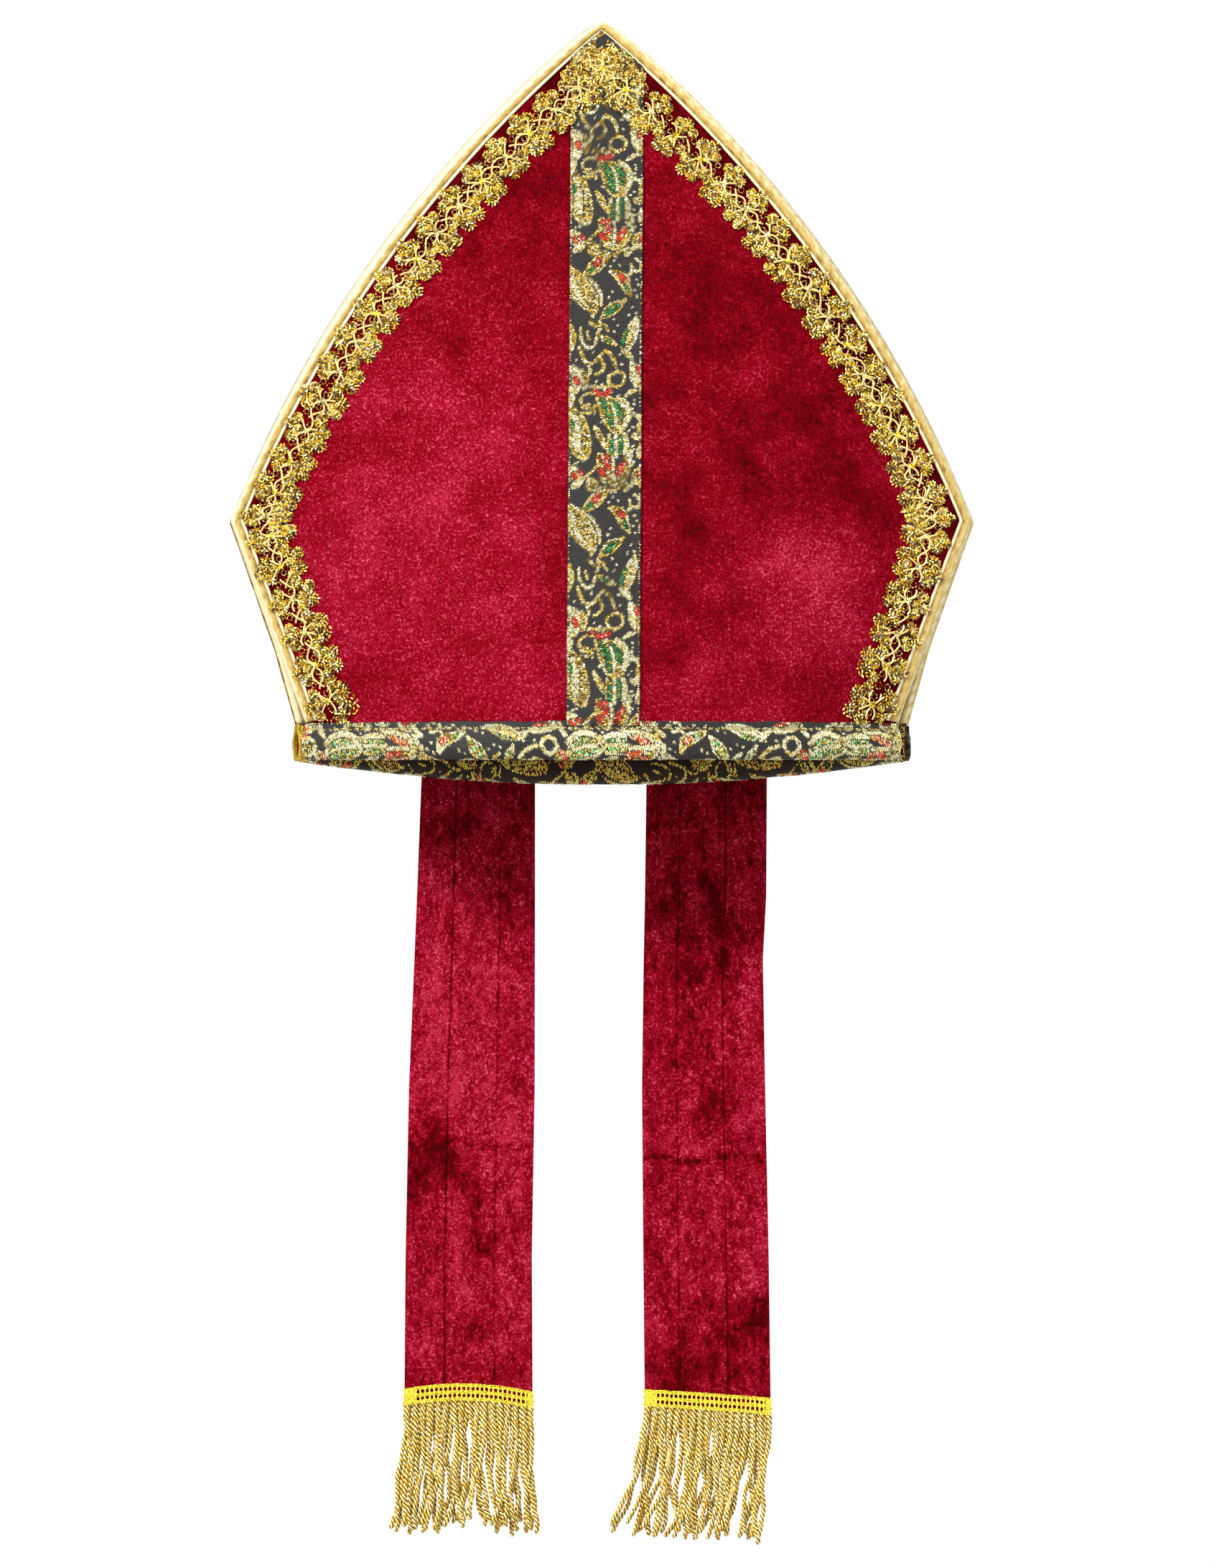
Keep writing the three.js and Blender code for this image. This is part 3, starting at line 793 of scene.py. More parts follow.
def make_binding(name, node, panel, seed):
    """Closed profile at stations along both edges; x changes sign on the left half.

    The puffed part is wrinkled in shape, with painted highlight and shade for its small
    crumples. On the left, where the lamp stands, the fold is painted paler as a highlight,
    with a thin dark outline of painted shade at the very edge."""
    path = edge_path(panel, 2)
    half = np.linspace(travel_to(path, BAND_HEIGHT + BAND_GAP), path_length(path), BINDING_STATIONS)
    travel = np.concatenate([half, half[-2::-1]])[:, None]
    mirror = np.where(np.arange(len(travel)) < BINDING_STATIONS, 1.0, -1.0)[:, None]
    inward, offset, fold = (column[None, :] for column in BINDING_PROFILE.T)
    x, height = binding_place(panel, travel, inward)
    place = together(travel * mirror / 7, inward)
    puffed = inward < LIP_START
    wrinkle = WRINKLE_DEPTH * ripples(place, 2.0, seed) * puffed * np.sign(offset)
    # Painted light: highlight and shade of small crumples, a paler fold on the lamp's side and a thin line
    # of shade at the very edge.
    crumple_shade = CRUMPLE_SHADE * ripples(place * [2.5, 1.0], 1.6, seed + 5) * puffed
    paler = np.clip((2.6 - inward) / 1.4, 0, 1) - 2.0 * (inward < 0.3)
    fold = fold + crumple_shade + LAMP_SIDE * (mirror < 0) * paler
    points, faces = loft(off_sheet(panel, mirror * x, height, offset + wrinkle))
    make_piece(name, points, faces, BINDING_SATIN, [node], {"fold": fold.ravel()})


make_binding("front_edging", "front_binding", FRONT, 11)
make_binding("back_edging", "back_binding", BACK, 12)

# %% [markdown]
# ## The brocade, thread by thread
#
# Brocade is woven: over a charcoal ground, extra threads of gold, pale gold, green and
# orange float on the face wherever the figure asks for them and hide behind it elsewhere.
# The old way to plan it is point paper, a chart that says which thread is on top at every
# crossing. The same is done here. The repeat of paisleys, tulips and leaves is charted as
# strings of circles, the chart is read at every crossing of the weave, and each float
# becomes one bead of thread. The dotted outlines come out by themselves, because a thin
# outline catches only every second or third crossing.

# %% The charted repeat
# One chart square is a third of a millimetre: 102 across the ribbon, 331 to the repeat.
# Each figure is a thread and a string of (across, along, radius) circles.
CHART_WIDTH = 102
CHART_REPEAT = 331
PAISLEY_AND_TULIP = [
    # a large pale leaf on the left edge, latticed with gold
    ("lattice", [(3, 28, 4), (11, 45, 11), (15, 62, 14), (17, 80, 15), (22, 94, 8)]),
    ("pale", [(8, 38, 3), (11, 54, 5), (12, 70, 6), (13, 84, 4)]),
    ("green", [(4, 46, 2), (5, 54, 3)]),
    ("pale", [(2, 2, 3), (4, 14, 4), (3, 25, 3)]),
    # the green paisley with its red crest, pale rim and curled tail
    ("gold", [(41, 13, 3), (52, 22, 11), (61, 33, 17), (67, 45, 17), (68, 54, 11)]),
    ("green", [(46, 16, 2), (51, 24, 4), (57, 34, 5), (60, 46, 5), (62, 54, 3)]),
    ("green", [(62, 20, 3), (70, 30, 5), (72, 42, 4)]),
    ("pale", [(60, 22, 1.6), (65, 36, 1.8), (66, 52, 2.5)]),
    ("pale", [(70, 13, 2.5), (81, 24, 3.5), (84, 38, 4), (79, 52, 3)]),
    ("red", [(35, 3, 2.5), (43, 9, 3), (53, 7, 3.5), (58, 4, 2.5)]),
    ("gold", [(32, -3, 1.8), (44, -1, 1.8), (57, -2, 1.8)]),
    ("gold", [(36, 8, 1.5), (25, 8, 1.6), (17, 15, 1.6), (20, 24, 1.6), (29, 24, 1.6)]),
    ("gold", [(20, 27, 1.5), (30, 29, 1.6), (38, 25, 1.4)]),
    ("gold", [(18, 34, 1.3), (28, 35, 1.6), (36, 32, 1.4)]),
    # a small leaf, then the calyx and tulip
    ("gold", [(37, 55, 1.5), (43, 65, 4), (49, 77, 3), (53, 84, 1.3)]),
    ("gold", [(57, 66, 2), (58, 80, 4), (60, 94, 5)]),
    ("green", [(62, 72, 3), (61, 86, 4), (62, 94, 3)]),
    ("green", [(72, 68, 3), (71, 80, 4), (72, 90, 3)]),
    ("pale", [(67, 66, 1.7), (66, 80, 2), (67, 96, 2)]),
    ("pale", [(78, 64, 2), (81, 76, 3.5), (80, 92, 3)]),
    ("gold", [(45, 96, 5), (50, 110, 9), (55, 124, 10), (62, 132, 6)]),
    ("gold", [(83, 98, 4), (79, 112, 8), (72, 124, 9), (62, 132, 6)]),
    ("red", [(45, 98, 2.5), (54, 97, 3.5)]),
    ("red", [(54, 104, 3.5), (55, 112, 3.5)]),
    ("red", [(45, 116, 3.5), (49, 121, 3)]),
    ("red", [(79, 104, 2), (74, 112, 4), (69, 122, 3.5)]),
    ("pale", [(62, 98, 1.6), (63, 112, 2), (62, 126, 2)]),
    ("pale", [(88, 88, 2), (86, 98, 2.6), (87, 110, 1.8)]),
    ("gold", [(22, 128, 1.5), (32, 118, 1.5), (40, 110, 1.5)]),
    ("gold", [(26, 138, 2), (36, 144, 2.4), (48, 140, 2), (60, 144, 2.4), (72, 138, 2), (82, 134, 2)]),
    ("lattice", [(30, 130, 4), (38, 134, 5)]),
]
print("figures charted:", len(PAISLEY_AND_TULIP))

# %% The chart, its middle
LEAVES_AND_LOOPS = [
    # flowers on both edges
    ("pale", [(2, 112, 3), (10, 120, 8), (14, 130, 7), (8, 138, 3)]),
    ("red", [(7, 121, 3), (10, 125, 3)]),
    ("red", [(16, 118, 2.5), (19, 121, 2.5)]),
    ("gold", [(102, 112, 3), (94, 119, 4), (92, 128, 4), (102, 133, 4)]),
    ("red", [(101, 119, 3), (101, 124, 3)]),
    ("pale", [(94, 131, 2.5), (88, 136, 2), (80, 143, 3)]),
    # two red-tipped leaves and a dotted ring
    ("gold", [(56, 143, 2), (48, 149, 6), (38, 158, 9), (28, 167, 6), (20, 173, 2)]),
    ("red", [(42, 151, 3.5), (37, 158, 3.5)]),
    ("green", [(33, 163, 2.5), (27, 168, 2)]),
    ("pale", [(93, 150, 1.6), (100, 156, 1.6), (98, 166, 1.6), (89, 166, 1.6), (86, 157, 1.6)]),
    ("pale", [(88, 168, 1.5), (80, 174, 1.6), (76, 168, 1.3)]),
    ("gold", [(58, 168, 2), (66, 171, 5), (75, 178, 8), (80, 190, 6), (86, 201, 2)]),
    ("red", [(71, 173, 3), (76, 179, 3.5)]),
    ("green", [(79, 188, 2.5), (82, 194, 2)]),
    # a latticed paisley on the left
    ("lattice", [(3, 165, 3), (10, 178, 10), (17, 194, 15), (27, 208, 13), (34, 220, 6), (33, 230, 2)]),
    ("pale", [(4, 176, 3), (8, 190, 3.5), (16, 206, 3), (24, 216, 2)]),
    ("pale", [(24, 176, 1.6), (36, 186, 1.8), (44, 200, 1.8), (45, 214, 1.6)]),
    # a green leaf, a pale leaf, a gold twig and a dotted loop
    ("gold", [(45, 233, 1.5), (53, 226, 6), (62, 219, 8), (74, 211, 3), (79, 207, 1.4)]),
    ("green", [(53, 226, 3), (61, 220, 4.5), (69, 214, 2.5)]),
    ("pale", [(94, 232, 2), (90, 246, 7), (84, 262, 9), (79, 276, 6), (88, 290, 2)]),
    ("green", [(80, 250, 2), (77, 262, 3), (75, 272, 2)]),
    ("gold", [(88, 248, 2), (84, 262, 3), (81, 272, 2)]),
    ("gold", [(29, 238, 1.6), (38, 244, 1.8), (48, 242, 1.8), (55, 250, 1.6)]),
    ("gold", [(42, 236, 1.4), (44, 246, 1.6), (40, 254, 1.4)]),
    ("pale", [(16, 248, 1.6), (17, 262, 1.6), (25, 274, 1.6), (35, 272, 1.6), (39, 260, 1.6)]),
    ("gold", [(25, 252, 1.6), (28, 262, 1.6)]),
    ("gold", [(43, 258, 1.5), (54, 264, 4.5), (66, 270, 1.6)]),
    ("green", [(50, 262, 2), (57, 266, 2)]),
    ("gold", [(2, 246, 3), (6, 260, 4), (3, 276, 3)]),
]
print("figures charted:", len(PAISLEY_AND_TULIP) + len(LEAVES_AND_LOOPS))

# %% The chart, its last part and its dots
VINE_AND_EDGES = [
    # the long curling vine
    ("gold", [(14, 274, 1.8), (18, 284, 2), (24, 295, 2), (33, 296, 2), (42, 288, 2), (50, 278, 2)]),
    ("gold", [(50, 278, 2), (58, 284, 2), (63, 292, 2), (66, 302, 1.6)]),
    ("gold", [(45, 290, 1.6), (49, 300, 1.8), (44, 309, 1.8), (37, 312, 1.5)]),
    ("pale", [(28, 300, 1.5), (30, 308, 1.8), (26, 315, 1.5)]),
    # the lower edge flowers, a ring and a dash
    ("pale", [(2, 302, 3), (10, 310, 7), (13, 322, 8), (8, 334, 6)]),
    ("red", [(10, 318, 3.5), (13, 324, 3)]),
    ("gold", [(20, 308, 3), (24, 318, 4), (22, 330, 3)]),
    ("pale", [(88, 296, 3), (92, 306, 7), (94, 318, 7), (99, 331, 4)]),
    ("red", [(97, 302, 2.5), (98, 309, 3)]),
    ("gold", [(99, 318, 2.5), (100, 328, 3)]),
    ("gold", [(58, 313, 1.8), (68, 308, 1.8), (77, 314, 1.8), (76, 324, 1.8), (67, 330, 1.8)]),
    ("gold", [(67, 330, 1.8), (58, 326, 1.8), (55, 319, 1.8), (58, 313, 1.8)]),
    ("pale", [(80, 341, 2), (88, 336, 2.4), (95, 334, 1.6)]),
    # small leaves and single floats on the right
    ("pale", [(90, 38, 1.8), (98, 40, 2.5), (100, 47, 2)]),
    ("gold", [(100, 46, 2.5), (99, 58, 3), (101, 70, 3)]),
    ("pale", [(92, 67, 3.5), (96, 71, 2)]),
    ("pale", [(100, 82, 2.5), (99, 94, 3.5)]),
]
CHART_FIGURES = PAISLEY_AND_TULIP + LEAVES_AND_LOOPS + VINE_AND_EDGES
# Single pale floats between the figures: across and along.
CHART_DOTS = [
    (91, 17), (92, 23), (90, 29), (91, 35), (86, 40), (90, 55), (85, 60), (90, 81), (92, 87),
    (89, 94), (91, 104), (14, 104), (20, 100), (26, 96), (9, 106), (36, 36), (46, 48), (62, 152),
    (70, 158), (66, 146), (57, 160), (93, 178), (96, 186), (91, 193), (94, 202), (60, 196),
    (56, 204), (58, 212), (88, 218), (93, 226), (62, 236), (68, 244), (64, 252), (34, 282),
    (10, 292), (84, 228), (72, 284), (74, 298), (30, 330), (38, 322), (44, 330), (50, 2), (46, 326),
]
print("figures in the repeat:", len(CHART_FIGURES), "and dots:", len(CHART_DOTS))

# %% Threads and their shares
THREADS = ["ground", "gold", "dark gold", "pale", "green", "red", "moat"]
GROUND, GOLD, DARK_GOLD, PALE, GREEN, RED, MOAT = range(len(THREADS))
# The moat's brown is partly the threads that dive there and partly painted shade beside the raised floats.
THREAD_COLOURS = np.array(
    [
        tint(40, 38, 36), tint(224, 184, 44), tint(116, 80, 18), tint(255, 248, 194), tint(36, 118, 64),
        tint(206, 54, 24), tint(54, 40, 20),
    ]
)[:, :3]
# What each kind of figure is woven of.
THREAD_MIX = {
    "gold": [("gold", 0.66), ("dark gold", 0.22), ("pale", 0.12)],
    "lattice": [("gold", 0.5), ("dark gold", 0.16), ("pale", 0.14), ("ground", 0.2)],
    "pale": [("pale", 0.74), ("gold", 0.26)],
    "green": [("green", 0.84), ("gold", 0.16)],
    "red": [("red", 0.9), ("pale", 0.1)],
}
print("threads:", ", ".join(THREADS))

# %% Reading the chart
RIM_WIDTH = 2.6
MOAT_WIDTH = 1.0
DOT_RADIUS = 1.7
FIGURE_MARGIN = 22
STEPS_PER_CIRCLE = 7


def string_distance(across, along, circles):
    """Distance from each place to a smooth string of circles, below zero inside it.

    The string is a smooth curve through the centres: at each one it runs along half the
    step from the centre before to the centre after. The radii go with it."""
    knots = np.array(circles, float)
    knots = np.vstack([2 * knots[0] - knots[1], knots, 2 * knots[-1] - knots[-2]])
    t = np.linspace(0, 1, STEPS_PER_CIRCLE)[:, None]
    stretches = []
    for a, b, c, d in zip(knots[:-3], knots[1:-2], knots[2:-1], knots[3:]):
        curve = 2 * b + (c - a) * t + (2 * a - 5 * b + 4 * c - d) * t**2 + (3 * b - a - 3 * c + d) * t**3
        stretches.append(0.5 * curve)
    string = np.vstack(stretches)
    gap = np.hypot(across[:, None] - string[:, 0], along[:, None] - string[:, 1])
    return np.min(gap - string[:, 2], axis=1)


def read_chart(across, along, seed, spread=0.4):
    """Index into THREADS of the thread on top at each place, given in chart squares.

    Inside a figure the threads are mixed by chance in its shares, its rim is pale or gold,
    and a moat of ground, brown partly with the threads that dive there and partly with
    painted shade beside the raised figure, sets it off from what lies under it. spread
    fattens every figure by that many squares."""
    along = np.mod(along, CHART_REPEAT)
    top = np.zeros(len(across), int)
    random = np.random.default_rng(seed)
    chance = random.random(len(across))
    rim_thread = np.where(random.random(len(across)) < 0.3, PALE, GOLD)
    spread = np.broadcast_to(spread, across.shape)
    for kind, circles in CHART_FIGURES:
        reach = np.array(circles)
        names, shares = zip(*THREAD_MIX[kind])
        codes = np.array([THREADS.index(name) for name in names])
        fill = codes[np.minimum(np.searchsorted(np.cumsum(shares), chance), len(codes) - 1)]
        for shift in (-CHART_REPEAT, 0, CHART_REPEAT):
            low = reach[:, 1].min() + shift - FIGURE_MARGIN
            high = reach[:, 1].max() + shift + FIGURE_MARGIN
            near = np.flatnonzero((along > low) & (along < high))
            if not len(near):
                continue
            gap = string_distance(across[near], along[near] - shift, circles) - spread[near]
            top[near[gap < MOAT_WIDTH]] = MOAT
            inside = near[gap < 0]
            top[inside] = fill[inside]
            rim = near[(gap < 0) & (gap > -RIM_WIDTH)]
            if kind in ("gold", "lattice"):
                top[rim] = rim_thread[rim]
    for dot_across, dot_along in CHART_DOTS:
        top[np.hypot(across - dot_across, along - dot_along) < DOT_RADIUS] = PALE
    return top


print("chart squares in the repeat:", CHART_WIDTH, "by", CHART_REPEAT)

# %% Brocade cloth and metal thread
def brocade_material():
    """Painted ground colour with the fine cross ribs of a satin weave."""
    material, tree, shader = start_material(
        "brocade ground", Roughness=0.6, Specular_IOR_Level=0.25, Sheen_Weight=0.06, Sheen_Roughness=0.4,
        Sheen_Tint=tint(220, 220, 230),
    )
    place = object_place(tree)
    colour = painted(tree, "under").outputs["Color"]
    stops = [(0.3, (0.45, 0.45, 0.45, 1)), (0.75, (1.3, 1.3, 1.25, 1))]
    fleck = ramp(tree, noise(tree, place, 0.7, detail=2), stops)
    mixed = mix_colours(tree, 1.0, colour, fleck, "MULTIPLY")
    ribs = add(tree, "TexWave", {"Vector": place, "Scale": 560.0, "Distortion": 0.8}, bands_direction="Z")
    bump = add(tree, "Bump", {"Height": ribs.outputs["Fac"], "Strength": 0.4, "Distance": 0.2 * MM})
    feed(tree, shader, {"Base Color": mixed, "Normal": bump.outputs["Normal"]})
    return material


def metal_thread_material(name, roughness, metallic, fleck_mm):
    """Painted thread colour, bright as flat metal thread is, with a fine twist in the bump."""
    material, tree, shader = start_material(
        name, Roughness=roughness, Metallic=metallic, Specular_IOR_Level=0.5,
    )
    place = object_place(tree)
    colour = painted(tree, "thread").outputs["Color"]
    twist = noise(tree, place, fleck_mm, detail=1)
    shade = ramp(tree, twist, [(0.3, (0.62, 0.6, 0.55, 1)), (0.7, (1.2, 1.2, 1.2, 1))])
    mixed = mix_colours(tree, 1.0, colour, shade, "MULTIPLY")
    bump = add(tree, "Bump", {"Height": twist, "Strength": 0.5, "Distance": 0.15 * MM})
    feed(tree, shader, {"Base Color": mixed, "Normal": bump.outputs["Normal"]})
    return material


BROCADE_GROUND = brocade_material()
FLOAT_THREAD = metal_thread_material("brocade floats", 0.34, 0.3, 0.5)
print("materials so far:", len(bpy.data.materials))

# %% Where the floats lie and what shows under them
FLOAT_PITCH_ACROSS = 1.02
FLOAT_PITCH_ALONG = 0.5
# What is left of each thread's colour between the floats, in the order of the threads.
UNDER_SHADE = np.array([1.0, 0.18, 0.3, 0.36, 0.4, 0.4, 1.0])


def under_colours(threads):
    """Ground colour under each thread: the thread's own colour, darkened."""
    return THREAD_COLOURS[threads] * UNDER_SHADE[threads][:, None]


def float_places(width, length, seed):
    """Crossings where a float may lie: rows half a millimetre apart, every other row shifted."""
    rows = np.arange(int(length / FLOAT_PITCH_ALONG))
    columns = np.arange(int(width / FLOAT_PITCH_ACROSS) + 1)
    across = (columns[None, :] + 0.5 * (rows[:, None] % 2)) * FLOAT_PITCH_ACROSS + 0.1
    along = np.broadcast_to((rows[:, None] + 0.5) * FLOAT_PITCH_ALONG, across.shape)
    random = np.random.default_rng(seed)
    across = across.ravel() + random.normal(0, 0.06, across.size)
    along = along.ravel() + random.normal(0, 0.05, along.size)
    keep = (across > 0.3) & (across < width - 0.3)
    return across[keep], along[keep]


print("floats on each square centimetre:", round(100 / (FLOAT_PITCH_ACROSS * FLOAT_PITCH_ALONG)))

# %% The floating threads
# Flat metal thread either catches the lamp or doesn't, in clusters a few floats wide. The
# brightest of the gold and pale ones turn nearly white.
GLINTS = (0.42, 0.95, 1.3, 1.9)
BAND_GLINTS = (0.5, 1.0, 1.4, 1.9)
GLINT_STRENGTH = 0.8
BAND_GLINT_STRENGTH = 1.25
GLINT_SIZE = 2.4
GLINT_COLOUR = np.array([1.0, 0.95, 0.7])
WHITE_FROM = 1.35


def glinted(colour, share, glint=GLINT_COLOUR):
    """Colours plus a share of their distance to the glint's colour, kept between 0 and 1."""
    return np.clip(colour + share * (glint - colour), 0, 1)


def make_floats(
    name, centres, along, up, threads, seed, slot, shade=1.0, glints=GLINTS, strength=GLINT_STRENGTH
):
    """One bead of thread for each crossing with a figure on it, tilted a little at random.

    Its colour is the thread's times a random glint times shade, one number or three for
    each place. A glint above WHITE_FROM turns gold and pale towards the glint's colour."""
    shown = (threads != GROUND) & (threads != MOAT)
    shade = np.broadcast_to(shade, (len(threads), 3))[shown]
    centres, along, up, threads = centres[shown], along[shown], up[shown], threads[shown]
    random = np.random.default_rng(seed)
    count = len(centres)
    along = unit(along + 0.22 * random.normal(size=(count, 3)))
    up = unit(up + 0.16 * random.normal(size=(count, 3)))
    length = random.uniform(0.95, 1.3, count)
    points, faces = beads(centres, along, up, length, random.uniform(0.5, 0.66, count), 0.3)
    lit = np.exp(strength * ripples(centres, GLINT_SIZE, seed + 1, count=30))
    bright = 0.9 * (lit * random.choice(glints, count))[:, None] * shade
    whiter = np.clip(bright[:, :1] - WHITE_FROM, 0, 0.8) * (threads <= PALE)[:, None]
    colour = glinted(THREAD_COLOURS[threads] * bright, whiter, GLINT_COLOUR * shade / shade[:, :1])
    values = {"thread": np.repeat(colour, BEAD_CORNERS, axis=0)}
    make_piece(name, points, faces, FLOAT_THREAD, values=values, smooth=False)


print("glints of a float:", GLINTS)

# %% [markdown]
# ## The upright ribbon
#
# The ribbon is one width of brocade from the band to the tip. The ground is a thin shell
# on the front sheet, painted with the darkened colour under each figure, and the floats
# lie on it. It leans a little to the right as it goes up, as hand-placed ribbon does.

# %% Where the ribbon lies
RIBBON_WIDTH = 34.0
RIBBON_FOOT = BAND_HEIGHT - 2.0
RIBBON_FOOT_X = 0.6
RIBBON_HEAD_X = 2.8
RIBBON_LIFT = 1.3
RIBBON_THICKNESS = 0.7
REPEAT_ALONG = 113.2
PAISLEY_HEIGHT = 283.0
RIBBON_SHADE = 0.9


def ribbon_place(across, height, lift):
    """Place on the front sheet: the ribbon's middle leans evenly from foot to head."""
    part = (height - BAND_HEIGHT) / (APEX_HEIGHT - BAND_HEIGHT)
    middle = RIBBON_FOOT_X + (RIBBON_HEAD_X - RIBBON_FOOT_X) * part
    return off_sheet(FRONT, middle + across - RIBBON_WIDTH / 2, height, lift)


def chart_across(across):
    """Millimetres across the ribbon as chart squares."""
    return across * CHART_WIDTH / RIBBON_WIDTH


def ribbon_top(across):
    """Height where the binding's lip covers the ribbon, read off the edge path."""
    path = edge_path(FRONT, 8, blunt=False)
    x, height = beside_edge(path, np.linspace(0, path_length(path), 600), BINDING_WIDTH - 0.6)
    order = np.argsort(x)
    middle = RIBBON_HEAD_X + across - RIBBON_WIDTH / 2
    return np.interp(np.abs(middle), x[order], height[order])


def ribbon_threads(across, height, seed):
    """The chart read on the ribbon, where its paisley stands at the paisley's height."""
    return read_chart(chart_across(across), (PAISLEY_HEIGHT - height) * CHART_REPEAT / REPEAT_ALONG, seed)


print("the ribbon ends at", ribbon_top(np.array([RIBBON_WIDTH / 2])).round(1), "mm")

# %% Ribbon ground
RIBBON_GRID = (330, 40)


def make_ribbon_ground():
    """Shell between two lifts above the sheet: a little loose, and thicker at its edges."""
    rows, columns = RIBBON_GRID
    across = np.linspace(0, RIBBON_WIDTH, columns)[None, :]
    height = RIBBON_FOOT + (ribbon_top(across) - RIBBON_FOOT) * np.linspace(0, 1, rows)[:, None]
    across = np.broadcast_to(across, height.shape)
    edge = np.minimum(across, RIBBON_WIDTH - across)
    loose = 0.25 * ripples(together(across, height), 30, 21) * np.clip(edge / 5, 0, 1)
    lift = RIBBON_LIFT + loose + 0.12 * (1 - np.clip(edge / 1.2, 0, 1))
    front = ribbon_place(across, height, lift + RIBBON_THICKNESS)
    back = ribbon_place(across, height, RIBBON_LIFT - 0.25)
    under = under_colours(ribbon_threads(across.ravel(), height.ravel(), 5))
    values = {"under": np.vstack([under, np.tile(THREAD_COLOURS[GROUND], (len(under), 1))])}
    points, faces = shell(front, back)
    make_piece("ribbon_ground", points, faces, BROCADE_GROUND, ["centre_ribbon"], values)


make_ribbon_ground()

# %% Ribbon floats
SELVEDGE = 1.0


def make_ribbon_floats():
    """A bead at each crossing with a thread on top, and pale and gold ones at the edges."""
    across, rise = float_places(RIBBON_WIDTH, APEX_HEIGHT - RIBBON_FOOT, 6)
    height = RIBBON_FOOT + rise
    keep = height < ribbon_top(across) - 0.3
    across, height = across[keep], height[keep]
    threads = ribbon_threads(across, height, 6)
    chance = np.random.default_rng(7).random(len(threads))
    at_edge = np.minimum(across, RIBBON_WIDTH - across) < SELVEDGE
    threads = np.where(at_edge & (chance >= 0.3) & (chance < 0.55), GOLD, threads)
    threads = np.where(at_edge & (chance < 0.3), PALE, threads)
    centres = ribbon_place(across, height, RIBBON_LIFT + RIBBON_THICKNESS + 0.1)
    along = ribbon_place(across + 0.5, height + 0.12, 2.0) - ribbon_place(across - 0.5, height - 0.12, 2.0)
    up = sheet_normal(FRONT, across - RIBBON_WIDTH / 2, height)
    make_floats("ribbon_floats", centres, unit(along), up, threads, 8, "ribbon_brocade", RIBBON_SHADE)


make_ribbon_floats()

# %% [markdown]
# ## The bands round the rim
#
# Each band is the same brocade folded lengthways over the rim. Near its upper edge a line
# of yellow running stitches holds it down, and below the line the folded cloth stands
# away from the velvet in a soft roll. The profile is carried round the rim, with the roll
# made fuller and flatter by smooth noise, and the chart is read along the band.

# %% The fold of a band
# Each row: distance round the fold from the outer upper edge, height on the sheet, offset.
BAND_PROFILE = np.array(
    [
        (0.0, 15.5, 1.35), (1.2, 14.4, 1.65), (2.6, 13.0, 1.7), (3.3, 12.3, 1.5), (4.1, 11.5, 1.9),
        (5.8, 10.0, 2.75), (8.0, 7.9, 3.4), (10.5, 5.4, 3.55), (13.0, 2.9, 3.2), (15.0, 1.0, 2.7),
        (16.6, -0.5, 2.0), (17.9, -1.4, 0.9), (18.8, -1.7, 0.0),
    ]
)
BAND_THICKNESS = 0.6
BAND_TURN = 18.8


def from_edge(turn):
    """Distance round the fold from the nearer of the cloth's two long edges."""
    return np.minimum(turn, 2 * BAND_TURN - turn)


def band_profile(turn):
    """Height and offset at a distance round the fold; past the fold the inner leaf mirrors it."""
    outer = from_edge(turn)
    height = np.interp(outer, BAND_PROFILE[:, 0], BAND_PROFILE[:, 1])
    offset = np.interp(outer, BAND_PROFILE[:, 0], BAND_PROFILE[:, 2])
    return height, np.where(turn <= BAND_TURN, offset, -offset)


def band_place(panel, x, turn, lift, seed):
    """Place on the fold, pushed out by lift and by the roll's unevenness along the rim."""
    height, offset = band_profile(turn)
    slope_height, slope_offset = band_profile(turn + 0.2)
    back_height, back_offset = band_profile(turn - 0.2)
    run = np.hypot(slope_height - back_height, slope_offset - back_offset)
    out_height = (slope_offset - back_offset) / run
    out_offset = -(slope_height - back_height) / run
    fullness = np.exp(-(((from_edge(turn) - 11) / 5) ** 2))
    push = lift + 0.45 * ripples(together(x / 3.2, turn), 7, seed) * fullness
    hem = np.exp(-from_edge(turn) / 3)
    height = height + 0.28 * ripples(together(x, 0.3 * turn), 13, seed // 10) * hem
    return off_sheet(panel, x, height + push * out_height, offset + push * out_offset)


print("round the fold, edge to edge:", 2 * BAND_TURN, "mm")

# %% The chart read along a band
# The inner leaf is in the shade of the hat, so as painted shade its floats are painted
# warmer and its ground darker in red, green and blue by these shares.
REPEAT_ON_BAND = 111.5
BAND_SPREAD = 0.8
INNER_SPREAD = 0.2
INNER_SHADE_WARMTH = np.array([0.0, 0.34, 0.74])
INNER_SHADE = np.array([0.62, 0.78, 0.9])
BAND_TINT = np.array([1.03, 1.0, 0.8])
STITCH_TURN = 3.4
STITCH_PITCH = 3.1


